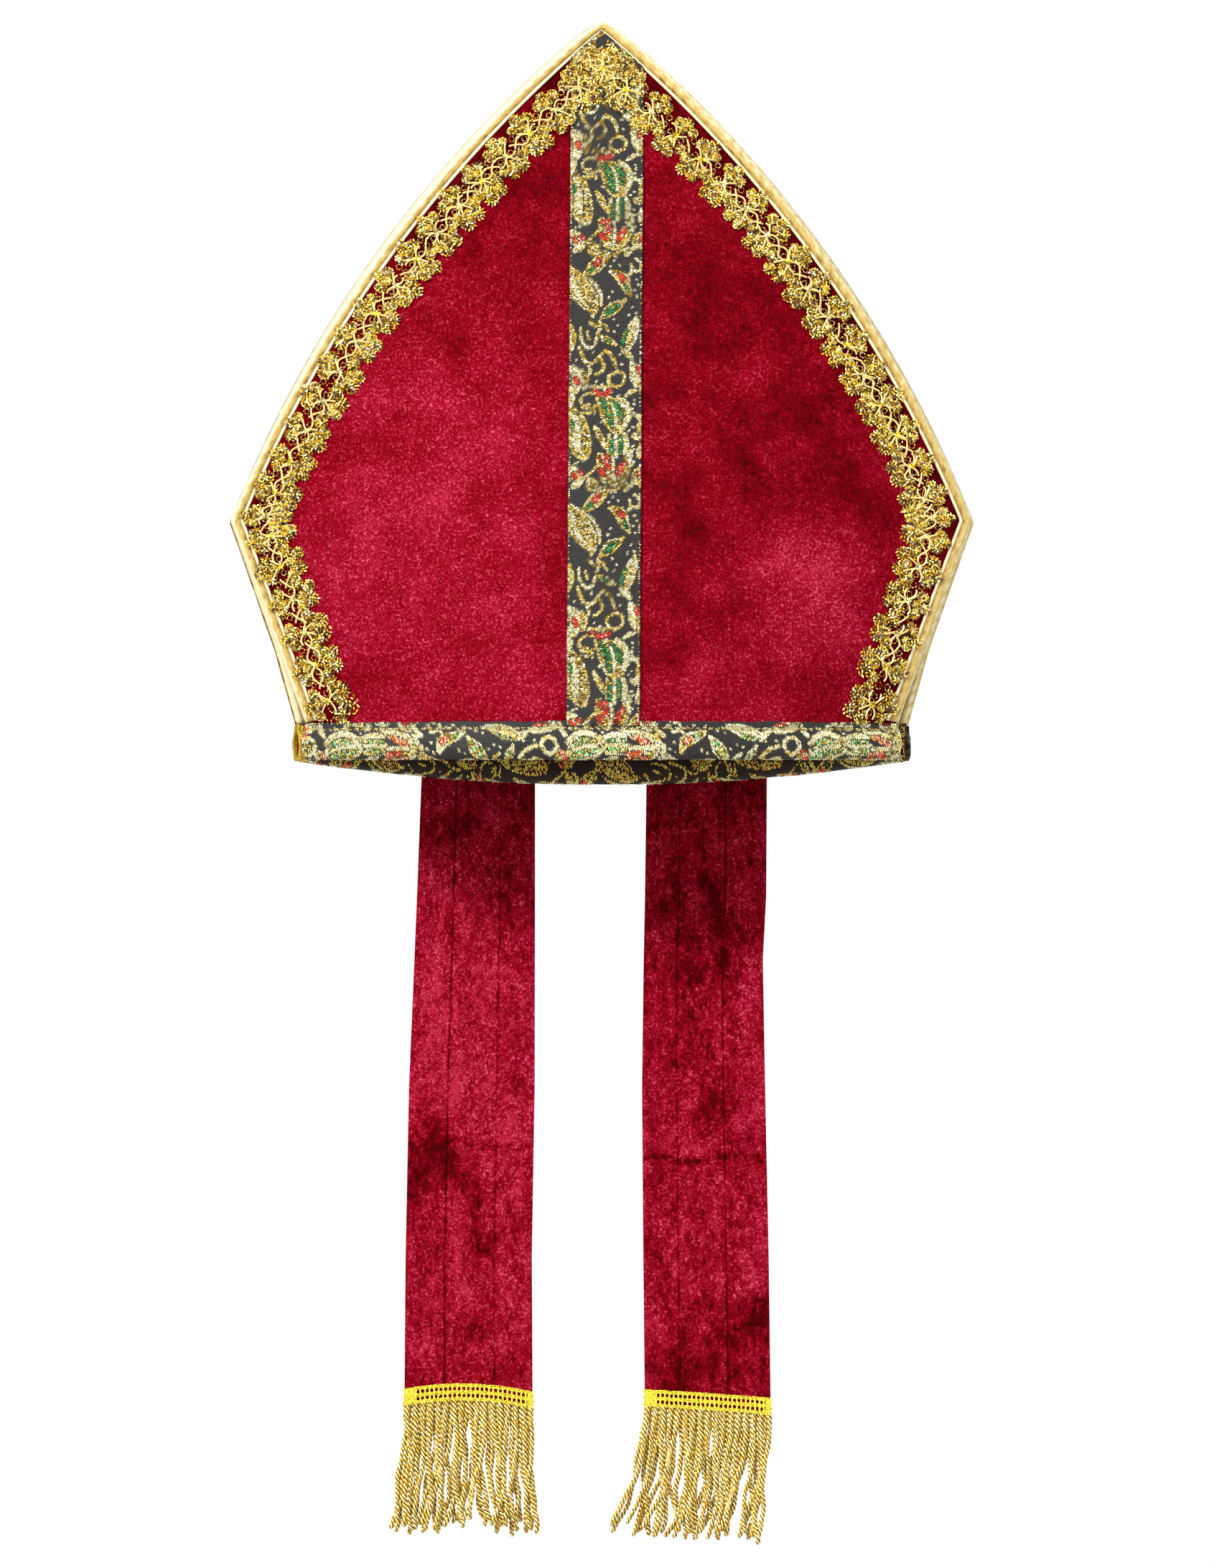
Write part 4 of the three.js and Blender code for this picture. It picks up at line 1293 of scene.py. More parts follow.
def band_threads(turn, x, shift, seed):
    """The chart read along a band: the ribbon's right edge is the band's outer upper edge.

    A bolder reading than the ribbon's: where a broad noise is high the gold of whole
    strokes is painted pale as a glare, part of the green and red gives way to gold, and
    the hem is bare in specks. The inner leaf, in shade, is painted with gold for pale and
    brown for ground and for some floats, as painted shade."""
    along = (x + shift) * CHART_REPEAT / REPEAT_ON_BAND
    inner = turn > BAND_TURN + 1.6
    spread = np.where(inner, INNER_SPREAD, BAND_SPREAD)
    threads = read_chart(chart_across(RIBBON_WIDTH - turn), along, seed, spread)
    chance = np.random.default_rng(seed + 9).random(len(threads))
    # Painted glare: where a broad noise is high, whole gold strokes are painted pale.
    glare_noise = ripples(together(x, turn), 9, seed // 10 + 70)
    threads = np.where((threads == GOLD) & (glare_noise + 0.8 * chance > 0.4) & ~inner, PALE, threads)
    scarce = ((threads == GREEN) & (chance < 0.5)) | ((threads == RED) & (chance < 0.3))
    threads = np.where(scarce, np.where(chance < 0.2, PALE, GOLD), threads)
    # Painted shade on the inner leaf: some floats and all the ground turn brown, pale turns gold.
    threads = np.where(inner & (chance > 0.8), MOAT, threads)
    shaded_pale = np.where(chance < 0.6, GOLD, np.where(chance < 0.85, DARK_GOLD, PALE))
    threads = np.where(inner & (threads == PALE), shaded_pale, threads)
    threads = np.where(inner & (threads == GROUND), MOAT, threads)
    return np.where((turn < 1.9) & (chance < 0.55), GROUND, threads)


def past_fold(turn):
    """0 on the outside of a band, rising to 1 on its inner leaf just past the fold."""
    return np.clip((turn - BAND_TURN - 1.2) / 1.5, 0, 1)


print("the repeat along a band:", REPEAT_ON_BAND, "mm")

# %% Band ground
BAND_GRID = (310, 40)


def end_colours(panel, x, turn, under):
    """Ground colours, red where the front's left end is folded in and gold where the back's
    frays."""
    left = -panel["half_widths"][0]
    red_end = (panel is FRONT) & (turn > 1) & (turn < 8) & (x < left + 2.0)
    gold_end = (panel is BACK) & (turn > BAND_TURN) & (x < left + 5.0)
    under = np.where(red_end[:, None], THREAD_COLOURS[RED] * 0.7, under)
    return np.where(gold_end[:, None], THREAD_COLOURS[GOLD] * 0.7, under)


def make_band_ground(name, panel, shift, seed):
    """Shell of a folded band, painted with what shows between its floats, and darker on its
    inner leaf as painted shade.
    """
    half_width = panel["half_widths"][0]
    x = np.linspace(-half_width, half_width, BAND_GRID[0])[:, None]
    turn = np.linspace(0, 2 * BAND_TURN, BAND_GRID[1])[None, :]
    x, turn = np.broadcast_arrays(x, turn)
    outer = band_place(panel, x, turn, 0.0, seed)
    inner = band_place(panel, x, turn, -BAND_THICKNESS, seed)
    points, faces = shell(outer, inner)
    x, turn = x.ravel(), turn.ravel()
    under = under_colours(band_threads(turn, x, shift, seed))
    # Painted shade: the ground of the inner leaf is painted darker.
    under = under * (1 - past_fold(turn)[:, None] * INNER_SHADE)
    under = end_colours(panel, x, turn, under)
    lining = np.where((x < -half_width + 5.0)[:, None], THREAD_COLOURS[GOLD] * 0.6, under * 0.5)
    values = {"under": np.vstack([under, lining])}
    make_piece(name + "_ground", points, faces, BROCADE_GROUND, [name], values)


print("grid of a band:", BAND_GRID)

# %% Band floats and running stitches
def stitched(threads, turn, x):
    """Gold running stitches on their line, with bare ground beside them, and which they are."""
    stitch = (np.abs(turn - STITCH_TURN) < 0.5) & (np.mod(x, STITCH_PITCH) < 2.0)
    beside = np.abs(turn - STITCH_TURN) < 1.0
    return np.where(stitch, GOLD, np.where(beside, GROUND, threads)), stitch


def make_band_floats(name, panel, shift, seed):
    """Beads across the fold, those of the stitches along it, painted brighter on the inner leaf
    and along the fold as highlight.

    The front band's inner leaf can't be seen, so its floats end just past the fold."""
    half_width = panel["half_widths"][0]
    turn, along = float_places(2 * BAND_TURN, 2 * half_width, seed + 1)
    shown = turn < (BAND_TURN + 3 if panel is FRONT else 2 * BAND_TURN)
    turn, x = turn[shown], along[shown] - half_width
    threads, stitch = stitched(band_threads(turn, x, shift, seed + 2), turn, x)
    chance = np.random.default_rng(seed + 6).random(len(threads))
    bare_end = (np.abs(x) > half_width - 4) & ((threads == GROUND) | (threads == MOAT))
    threads = np.where(bare_end & (chance < 0.45), np.where(chance < 0.15, PALE, GOLD), threads)
    centres = band_place(panel, x, turn, 0.1, seed)
    round_fold = band_place(panel, x, turn + 0.4, 0.1, seed) - centres
    along_band = band_place(panel, x + 0.4, turn, 0.1, seed) - centres
    direction = unit(np.where(stitch[:, None], along_band, round_fold))
    up = unit(band_place(panel, x, turn, 0.6, seed) - centres)
    # Painted light: floats painted brighter along the fold as a highlight, and brighter and warmer on the
    # shaded inner leaf.
    fold_highlight = np.exp(-(((turn - BAND_TURN - 0.4) / 1.1) ** 2))
    shade = (1.34 + 2.9 * past_fold(turn) + 0.9 * fold_highlight)[:, None]
    shade = shade * (1 - past_fold(turn)[:, None] * INNER_SHADE_WARMTH) * BAND_TINT
    lit = (shade, BAND_GLINTS, BAND_GLINT_STRENGTH)
    make_floats(name + "_floats", centres, direction, up, threads, seed + 3, "band_brocade", *lit)


for band in (("front_band", FRONT, 20.0, 31), ("back_band", BACK, 60.0, 41)):
    make_band_ground(*band)
    make_band_floats(*band)

# %% [markdown]
# ## Gold lace
#
# Guipure lace is worked in thread alone, with no net behind it, so the velvet shows
# through its holes. One motif is charted once and repeated every sixteen millimetres: a
# four-lobed flower towards the middle of the hat, a three-lobed one towards the binding,
# a star of yellow thread between them with pale cords running out of it, and small
# rosettes beside the star and where one motif meets the next. A lobe is rings of tiny
# loops, each one bead.

# %% The charted lace motif
# Places are millimetres: along the edge from the motif's middle, and in from the binding.
LACE_PITCH = 16.4
LACE_START = 6.7
LACE_LIFT = 1.35
STAR_PLACE = (0.0, 10.8)
LOBES = [
    # along, inward, radius
    (-5.6, 14.4, 3.2), (-3.3, 18.9, 3.4), (2.9, 19.3, 3.4), (5.8, 14.7, 3.2), (0.0, 15.4, 2.5),
    (-4.2, 4.6, 2.8), (0.1, 1.8, 2.9), (4.4, 4.4, 2.8), (0.0, 6.2, 2.3),
]
ROSETTES = [(8.2, 10.6, 2.0), (8.0, 14.6, 1.7), (8.6, 6.6, 1.8), (-3.4, 10.8, 1.7), (3.5, 10.9, 1.7)]
CORDS = [
    # start, bend and end, each along and inward
    [(0, 10.8), (-1.6, 13.4), (-3.4, 16.0)], [(0, 10.8), (1.6, 13.0), (2.6, 16.2)],
    [(0, 10.8), (-2.2, 8.6), (-4.2, 6.6)], [(0, 10.8), (1.7, 8.6), (4.4, 6.4)],
    [(0.4, 11.2), (3.2, 14.0), (5.8, 12.0)], [(5.8, 12.0), (8.4, 9.6), (11.2, 8.2)],
    [(0.4, 10.4), (3.0, 7.2), (5.6, 8.4)], [(5.6, 8.4), (8.0, 9.8), (10.9, 12.8)],
    [(-0.4, 11.0), (-2.8, 13.8), (-5.7, 12.4)], [(-0.4, 10.6), (-3.2, 7.6), (-5.8, 8.6)],
]
# Loops in a ring, its share of the lobe's radius, and their length, width and lift.
LOOP_RINGS = ((12, 0.88, 1.75, 1.05, 0.5), (8, 0.58, 1.65, 1.05, 1.1), (4, 0.25, 1.6, 1.05, 1.5))
# Gold, light gold, pale gold and brown thread, then the star, the cords and the painted
# shadow below.
LACE_TONES = np.array(
    [
        tint(226, 178, 34), tint(250, 216, 74), tint(255, 240, 160), tint(122, 76, 8), tint(250, 210, 10),
        tint(246, 224, 150), tint(70, 38, 6),
    ]
)[:, :3]
STAR_TONE = 4
CORD_TONE = 5
SHADE_TONE = 6
LOBE_SHARES = [0.5, 0.18, 0.1, 0.22]
ROSETTE_SHARES = [0.4, 0.3, 0.25, 0.05]


def bead_ring(middle, reach, angle, turned, length, width, lift, tone):
    """Rows of beads on a circle: along, inward, turn, length, width, lift and tone.

    along is the middle plus reach times cos angle, and inward plus reach times sin angle."""
    along, inward = middle[0] + reach * np.cos(angle), middle[1] + reach * np.sin(angle)
    return together(along, inward, turned, length, width, lift, tone)


def lace_beads(random):
    """Along, inward, angle, length, width, lift and tone of every bead of one motif.

    A lobe has twelve loops round its rim, eight inside them and four in its middle, each
    turned this way and that. Lobes differ a little in place and size too."""
    rows = []
    for along, inward, radius in np.array(LOBES) + random.normal(0, 0.38, (len(LOBES), 3)):
        for count, share, length, width, lift in LOOP_RINGS:
            angle = (np.arange(count) + random.random()) * 2 * np.pi / count
            turned = angle + random.normal(0, 1.1, count)
            size = length * (radius / 2.4) ** 0.5
            tone = random.choice(4, count, p=LOBE_SHARES)
            rows.append(bead_ring((along, inward), share * radius, angle, turned, size, width, lift, tone))
    for along, inward, radius in ROSETTES:
        angle = np.arange(6) * np.pi / 3 + random.random()
        turned = angle + np.pi / 2 + random.normal(0, 0.3, 6)
        tone = random.choice(4, 6, p=ROSETTE_SHARES)
        rows.append(bead_ring((along, inward), 0.7 * radius, angle, turned, 1.3, 0.62, 0.7, tone))
    angle = np.arange(7) * 2 * np.pi / 7 + random.random()
    tone = STAR_TONE if random.random() < 0.5 else CORD_TONE
    rows.append(bead_ring(STAR_PLACE, 1.0, angle, angle, 2.4, 0.85, 1.7, tone))
    return np.vstack(rows)


print("beads in a motif:", len(lace_beads(np.random.default_rng(0))))

# %% Laying the motif along the edge
# How far in from its plain place a run lies, on the left (-1) and on the right (1).
TIP_SHIFT = 2.4
FOOT_SHIFT = -1.2
SIDE_SHIFT = {-1: -1.3, 1: -0.5}
CORNER_SHIFT = {-1: 0.0, 1: 2.4}
CORNER_REACH = 27.0


def lace_path():
    """Edge path of the front with wide, gentle mitres, and none at the tip, where a run ends."""
    path = edge_path(FRONT, 17)
    last = path[-1, :2] - path[-2, :2]
    path[-1, 2:] = np.array([-last[1], last[0]]) / np.hypot(*last)
    return path


def lace_place(path, side, travel, inward, lift):
    """Place on the front sheet, x and height. Inward counts from the binding's lip.

    The run was sewn by hand: it leaves the lip bare by the tip, and on the right at the
    corner too, and climbs on the binding along the sides and towards its foot."""
    x, height = beside_edge(path, travel, 0.0)
    shift = TIP_SHIFT * np.clip((80 - x) / 50, 0, 1) + SIDE_SHIFT[side] * np.clip((x - 90) / 30, 0, 1)
    shift = shift + CORNER_SHIFT[side] * np.exp(-(((height - CORNER_HEIGHT) / CORNER_REACH) ** 2))
    shift = shift + FOOT_SHIFT * np.clip((CORNER_HEIGHT - height) / 95, 0, 1)
    inward = inward + shift
    x, height = beside_edge(path, travel, BINDING_WIDTH + inward)
    lift = lift + 0.7 * np.clip(0.4 - inward, 0, 1.6)
    over_ribbon = np.clip((30 - np.abs(x)) / 6, 0, 1)
    crossing = np.clip((20 - x) / 8, 0, 1) * (0.9 if side > 0 else 0.0)
    lift = LACE_LIFT + over_ribbon * 0.8 + crossing + lift
    return off_sheet(FRONT, side * x, height, lift), x, height


def inside_binding(x, height):
    """True where a place is above the band's seam and below the fold of either binding.

    By the tip the lip is left bare as well."""
    path = edge_path(FRONT, 8, blunt=False)
    travel = np.linspace(0, path_length(path), 600)
    edge_x, edge_height = beside_edge(path, travel, 0.0)
    margin = BINDING_WIDTH - 1.9 + 2.8 * np.clip((60 - edge_x) / 30, 0, 1)
    edge_x, edge_height = beside_edge(path, travel, margin)
    order = np.argsort(-edge_height)
    upper = edge_height[order] > CORNER_HEIGHT
    top = np.interp(np.abs(x), edge_x[order][upper], edge_height[order][upper])
    return (height > BAND_HEIGHT - 0.6) & (height < top)


print("length of an edge, mm:", round(path_length(lace_path())))

# %% Stitches, cords and the painted shadow below them
CORD_SHARE = 0.8
SHADOW_PLATE_LIFT = 0.3
LACE_THREAD = metal_thread_material("lace thread", 0.32, 0.3, 0.6)


def lace_stitches(path, side, middles, random, seed):
    """The beads of all motifs, each a little off its place, and their colours."""
    motifs = []
    for middle in middles:
        motifs.append(lace_beads(random))
        motifs[-1][:, 0] += middle
    rows = np.vstack(motifs)
    rows = rows[(rows[:, 0] < path_length(path)) & (rows[:, 0] > 0)]
    travel, inward, angle, size, width, lift, tone = rows.T
    inward = inward + 0.12 * random.normal(size=len(inward))
    centres, x, height = lace_place(path, side, travel, inward, lift)
    shown = inside_binding(x, height)
    ahead, _, _ = lace_place(path, side, travel + 0.3 * np.cos(angle), inward + 0.3 * np.sin(angle), lift)
    up = sheet_normal(FRONT, side * x, height)
    up = unit(up + 0.18 * random.normal(size=up.shape))[shown]
    size = size[shown] * random.uniform(0.85, 1.15, shown.sum())
    part = beads(centres[shown], (ahead - centres)[shown], up, size, width[shown], 0.7)
    lit = np.exp(0.6 * ripples(centres[shown], 1.6, seed + 1, count=30))
    bright = 0.88 * (random.choice(GLINTS, shown.sum()) * lit)[:, None]
    colour = LACE_TONES[tone[shown].astype(int)] * bright
    colour = glinted(colour, 0.8 * np.clip(bright - 1.3, 0, 0.7))
    return part, np.repeat(colour, BEAD_CORNERS, axis=0)


def lace_cords(path, side, middles, random):
    """The cords of all motifs, most of them kept, and their colours.

    A place on a cord is start times (1 - t) squared plus bend times 2 t (1 - t) plus end
    times t squared, and the cord arches up in its middle."""
    length = path_length(path)
    t = np.linspace(0, 1, 8)[:, None]
    start, bend, end = (np.array(CORDS, float)[:, None, i] for i in range(3))
    curves = (1 - t) ** 2 * start + 2 * t * (1 - t) * bend + t**2 * end
    curves = np.tile(curves, (len(middles), 1, 1))
    curves[:, :, 0] += np.repeat(middles, len(CORDS))[:, None]
    curves += 0.45 * random.normal(size=(len(curves), 1, 2))
    travel, inward = np.clip(curves[:, :, 0], 0, length), curves[:, :, 1]
    arch = 0.75 + 0.5 * np.sin(np.pi * t[:, 0])
    paths, x, height = lace_place(path, side, travel, inward, arch + 0.3)
    kept = inside_binding(x, height).all(axis=1) & (curves[:, :, 0] < length).all(axis=1)
    kept &= random.random(len(kept)) < CORD_SHARE
    part = tubes(paths[kept], 0.41, sheet_normal(FRONT, side * x[kept], height[kept]), sides=4)
    return part, np.tile(LACE_TONES[CORD_TONE], (len(part[0]), 1))


def lace_shadow_plates(path, side, middles):
    """Two crossed dark plates under each lobe, one and a half times its radius long: painted
    shadow of the lobe.
    """
    lobes = np.tile(np.array(LOBES), (len(middles), 1))
    lobes[:, 0] += np.repeat(middles, len(LOBES))
    travel, inward, radius = lobes.T
    length = path_length(path)
    centres, x, height = lace_place(path, side, np.clip(travel, 0, length), inward, SHADOW_PLATE_LIFT)
    kept = inside_binding(x, height) & (travel < length) & (travel > 0)
    up = sheet_normal(FRONT, side * x, height)[kept]
    wide = radius[kept] * 1.5
    plates = []
    for turn in ([1, 0, 0.1], [1, 0, 1.0]):
        part = beads(centres[kept], np.broadcast_to(turn, up.shape), up, wide, wide, 0.7)
        plates.append((part, np.tile(LACE_TONES[SHADE_TONE], (len(part[0]), 1))))
    return plates


def make_lace(name, node, side, start, seed):
    """All motifs of one run: stitches, cords and dark plates of painted shadow, joined into
    one mesh.
    """
    path = lace_path()
    foot = travel_to(path, BAND_HEIGHT) + start
    middles = np.arange(foot - LACE_PITCH, path_length(path) + LACE_PITCH, LACE_PITCH)
    random = np.random.default_rng(seed)
    layers = [lace_stitches(path, side, middles, random, seed), lace_cords(path, side, middles, random)]
    parts, colours = zip(*layers, *lace_shadow_plates(path, side, middles))
    points, faces = joined(parts)
    values = {"thread": np.vstack(colours)}
    make_piece(name, points, faces, LACE_THREAD, [node], values, smooth=False)


make_lace("left_lace_run", "left_lace", -1, LACE_START, 51)
make_lace("right_lace_run", "right_lace", 1, LACE_START - 1.5, 61)

# %% [markdown]
# ## The lappets
#
# A lappet is a strip of the same velvet folded into a flat tube and pressed, so its long
# edges are round and two faint press lines run down it. It is sewn to the outside of the
# back band, follows the band's curve there, and straightens as it hangs. The nap on a
# lappet has been handled more than on the hat, so its patches are smaller and darker,
# and one packing fold crosses it. Its top under the band, its press lines and its packing
# fold are painted darker: painted shade.

# %% The left lappet
# Edges: height, left edge and right edge. bow, slant and drop shape the end, creases are
# the press lines with their strength, fold is the packing fold's height, and nap_and_shade
# is as on the panels.
LAPPET_TOP = 9.0
LAPPET_END = -298.4
LEFT_LAPPET = {
    "edges": [
        (9, -83.8, -31.2), (-60, -86.4, -31.2), (-150, -90.1, -31.3), (-230, -91.6, -32.6),
        (-298.4, -92.1, -32.2),
    ],
    "bow": 2.4,
    "slant": -1.6,
    "drop": 0.0,
    "creases": [(0.31, 1.0), (0.70, 0.6)],
    "fold": -178.0,
    "nap_and_shade": [
        # The first patch, dark across the top, is painted shade under the band.
        (-60, -5, 60, 26, 0, -0.2), (-66, -26, 5, 12, 35, -0.45), (-52, -22, 14, 8, 20, 0.4),
        (-50, -32, 22, 10, 0, -0.3), (-60, -100, 60, 60, 0, 0.38), (-41, -66, 12, 14, 20, -0.6),
        (-58, -72, 5, 22, 10, -0.3), (-84, -190, 10, 13, 10, -0.95), (-74, -180, 4, 15, -28, -1.0),
        (-59, -204, 4, 13, -14, -1.0), (-62, -217, 4, 4, 0, -1.0), (-58, -226, 6, 4, 20, -0.9),
        (-61, -250, 40, 60, 0, 0.25), (-60, -264, 7, 6, 15, -0.9), (-86, -230, 8, 30, 0, -0.25),
        (-44, -180, 14, 30, 0, 0.3), (-74, -150, 16, 40, 0, 0.25), (-40, -262, 10, 20, 0, 0.2),
        (-62, -284, 40, 8, 0, -0.15), (-60, -180, 90, 160, 0, 0.16),
    ],
}
print("left lappet's end:", LEFT_LAPPET["edges"][-1])

# %% The right lappet
RIGHT_LAPPET = {
    "edges": [
        (9, 21.1, 77.4), (-60, 20.2, 77.0), (-90, 19.6, 75.4), (-150, 18.8, 76.4), (-230, 19.4, 78.0),
        (-298.4, 20.1, 78.9),
    ],
    "bow": 0.2,
    "slant": -4.6,
    "drop": 3.2,
    "creases": [(0.28, 0.6), (0.66, 0.8)],
    "fold": -184.0,
    "nap_and_shade": [
        # The first patch, dark across the top, is painted shade under the band.
        (50, -5, 60, 30, 0, -0.3), (48, -54, 4, 8, -30, -0.9), (55, -72, 4, 10, -20, -0.9),
        (57, -90, 4, 7, 0, -0.8), (43, -98, 4, 8, 30, -0.7), (50, -110, 22, 50, 0, -0.25),
        (32, -60, 8, 20, 0, -0.2), (72, -100, 6, 22, 18, 0.45), (70, -150, 9, 40, 0, 0.28),
        (52, -162, 8, 12, 15, -0.5), (48, -200, 14, 26, 0, 0.15),
        (61, -212, 3, 22, 0, -0.45), (28, -200, 8, 22, 0, -0.3), (44, -232, 8, 9, 20, -0.35),
        (71, -256, 9, 9, 30, -0.9), (72, -232, 7, 14, -20, 0.35), (50, -262, 12, 10, 30, -0.45),
        (40, -284, 14, 10, 0, -0.55), (58, -280, 8, 9, 0, -0.4), (36, -254, 9, 14, 20, 0.25),
        (50, -180, 90, 160, 0, 0.16),
    ],
}
print("right lappet's end:", RIGHT_LAPPET["edges"][-1])

# %% How a lappet hangs
LAPPET_HALF_THICKNESS = 1.15
# Distance outside the back panel's middle, and the heights between which it straightens.
HANG = 4.0
BEND_START = 2.4
STRAIGHTENING = 110.0


def lappet_depth(edges, x, z):
    """Depth y: the back band's curve plus the hang at the top, one flat depth lower down.

    The blend is the smooth step of the distance below the rim over the straightening."""
    middle = (edges[0][1] + edges[0][2]) / 2

    def on_band(at):
        """Depth of the rim plus the hang, measured square to the curve: times its slant."""
        slope = panel_depth(BACK, at + 0.5, 0.0) - panel_depth(BACK, at - 0.5, 0.0)
        return panel_depth(BACK, at, 0.0) + HANG * np.sqrt(1 + slope**2)

    t = np.clip((-z - BEND_START) / (STRAIGHTENING - BEND_START), 0, 1)
    flatness = t * t * (3 - 2 * t)
    return on_band(x) + (on_band(middle) - on_band(x)) * flatness


def end_sag(lappet, across, z):
    """Shift of the cloth at its end: a bow, a slant and a drop, fading out up the lappet."""
    near_end = np.clip((-z - 200) / 98, 0, 1) ** 2
    bow = lappet["bow"] * (1 - 4 * (across - 0.5) ** 2) * 1.5 - lappet["bow"] * 0.75
    return (bow + lappet["slant"] * (across - 0.5) - lappet["drop"]) * near_end


def lappet_place(lappet, across, z, through):
    """Place in a lappet: across from 0 to 1, height z, through from -1 back to 1 front."""
    rows = np.array(lappet["edges"], float)[::-1]
    left = np.interp(z, rows[:, 0], rows[:, 1])
    right = np.interp(z, rows[:, 0], rows[:, 2])
    x = left + (right - left) * across
    y = lappet_depth(lappet["edges"], x, z) - through * LAPPET_HALF_THICKNESS
    return together(x, y, z + end_sag(lappet, across, z))


print("hangs straight below", -STRAIGHTENING, "mm")

# %% Lappets as flat tubes
LAPPET_GRID = (180, 40)
CREASE_WIDTH = 0.012
FOLD_WIDTH = 1.3


def along_creases(lappet, across):
    """Strength of the press lines: a bell curve round each, times that line's own strength."""
    crease = np.zeros(across.shape)
    for line, strength in lappet["creases"]:
        crease += strength * np.exp(-(((across - line) / CREASE_WIDTH) ** 2))
    return crease


def make_lappet(name, node, lappet, seed):
    """Flat tube: rings round the cloth at stations down its length, creased and handled, with
    painted shade under the band, on the press lines and along the packing fold.
    """
    rows, columns = LAPPET_GRID
    z = np.linspace(LAPPET_TOP, LAPPET_END, rows)[:, None]
    angle = (np.arange(2 * columns) + 0.5) * np.pi / columns
    across = (0.5 - 0.5 * np.cos(angle))[None, :]
    through = np.sign(np.sin(angle)) * np.abs(np.sin(angle)) ** 0.35
    across, through, z = np.broadcast_arrays(across, through[None, :], z)
    points = lappet_place(lappet, across, z, through)
    flat = together(points[..., 0], points[..., 2])
    push = 0.55 * ripples(flat * [1.6, 1], 60, seed) + 0.22 * ripples(flat, 17, seed + 1)
    crease = along_creases(lappet, across)
    wander = lappet["fold"] + 2.0 * ripples(flat[..., :1] / 30, 1, seed + 2)
    fold = np.exp(-(((points[..., 2] - wander) / FOLD_WIDTH) ** 2))
    fold = fold * (0.7 + 0.5 * ripples(flat[..., :1], 30, seed + 3) ** 2)
    side = np.sign(through)
    bulge = push - 0.35 * crease * side - 0.4 * fold * side
    points[..., 1] -= bulge * np.abs(through) ** 0.5
    nap_and_shade = soft_patches(points[..., 0], points[..., 2], lappet["nap_and_shade"])
    # The packing fold takes painted shade: the value there is pulled darker.
    values = {"nap_and_shade": (nap_and_shade - 0.8 * fold).ravel(), "across": across.ravel()}
    points, faces = loft(points)
    velvet = velvet_material(name, 12, 1.7, 1.45, 2.2, lappet["creases"])
    return make_piece(name, points, faces, velvet, [node], values)


left_lappet = make_lappet("left_lappet_velvet", "left_lappet", LEFT_LAPPET, 71)
right_lappet = make_lappet("right_lappet_velvet", "right_lappet", RIGHT_LAPPET, 81)

# %% [markdown]
# ## The crocheted heading
#
# A fringe is sold on a heading, here a narrow yellow crochet tape with two rows of small
# square holes. It is stitched over the raw end of the lappet. Three chains run across,
# each a row of slanting loops, with little posts between them, and the tape's end is
# turned under, so the first few holes are closed.

# %% Chains and posts
HEADER_TOP = -291.9
CHAINS_DOWN = (0.5, 3.7, 6.9)
POST_PITCH = 2.1
HEADER_OUT = 1.9


def header_place(lappet, across, down, out):
    """Place on the tape: across from 0 to 1, millimetres down from its top, out to the front."""
    z = np.full(np.shape(across), HEADER_TOP)
    centre = lappet_place(lappet, across, np.maximum(z, LAPPET_END), np.zeros(np.shape(across)))
    centre[..., 1] -= out
    centre[..., 2] -= down
    return centre


def make_header(name, node, lappet, seed):
    """Slanting beads in three chains, tubes for the posts, and the turned end's extra row."""
    random = np.random.default_rng(seed)
    end = lappet["edges"][-1]
    width = end[2] - end[1]
    count = int(width / POST_PITCH)
    parts = []
    front = np.array([0.0, -1.0, 0.0])
    for down in CHAINS_DOWN:
        for side in (-1, 1):
            places = (np.arange(2 * count + 2) + 0.25 * side) / (2 * count + 1)
            centres = header_place(lappet, places, down + 0.42 * side, HEADER_OUT)
            centres += 0.08 * random.normal(size=centres.shape)
            along = unit(np.array([1.0, 0, -0.75 * side]) + 0.1 * random.normal(size=centres.shape))
            up = np.broadcast_to(front, centres.shape)
            parts.append(beads(centres, along, up, 1.8, 0.95, 1.1))
    posts = (np.arange(count) + 0.5) / count
    down = np.linspace(0.4, 7.0, 9)
    across = np.broadcast_to(posts[:, None], (count, 9)) + 0.0015 * random.normal(size=(count, 9))
    paths = header_place(lappet, across, down[None, :] + 0 * across, HEADER_OUT - 0.1)
    parts.append(tubes(paths, 0.42, front, sides=5))
    closed = np.concatenate([np.linspace(0.004, 0.09, 16), np.linspace(0.965, 0.998, 7)])
    across, down = np.meshgrid(closed, np.linspace(0.9, 6.6, 8))
    centres = header_place(lappet, across.ravel(), down.ravel(), HEADER_OUT - 0.1)
    centres += 0.12 * random.normal(size=centres.shape)
    along = unit(np.array([1.0, 0, 0.5]) + 0.5 * random.normal(size=centres.shape))
    parts.append(beads(centres, along, np.broadcast_to(front, centres.shape), 1.5, 0.8, 0.9))
    points, faces = joined(parts)
    bright = random.uniform(0.78, 1.2, len(points) // BEAD_CORNERS + 1)
    bright = np.repeat(bright, BEAD_CORNERS)[: len(points), None]
    values = {"thread": np.array(tint(246, 228, 60)[:3]) * bright}
    return make_piece(name, points, faces, CROCHET_YARN, [node], values)


CROCHET_YARN = metal_thread_material("crochet yarn", 0.5, 0.0, 0.7)
left_header = make_header("left_heading", "left_fringe_header", LEFT_LAPPET, 91)
right_header = make_header("right_heading", "right_fringe_header", RIGHT_LAPPET, 92)

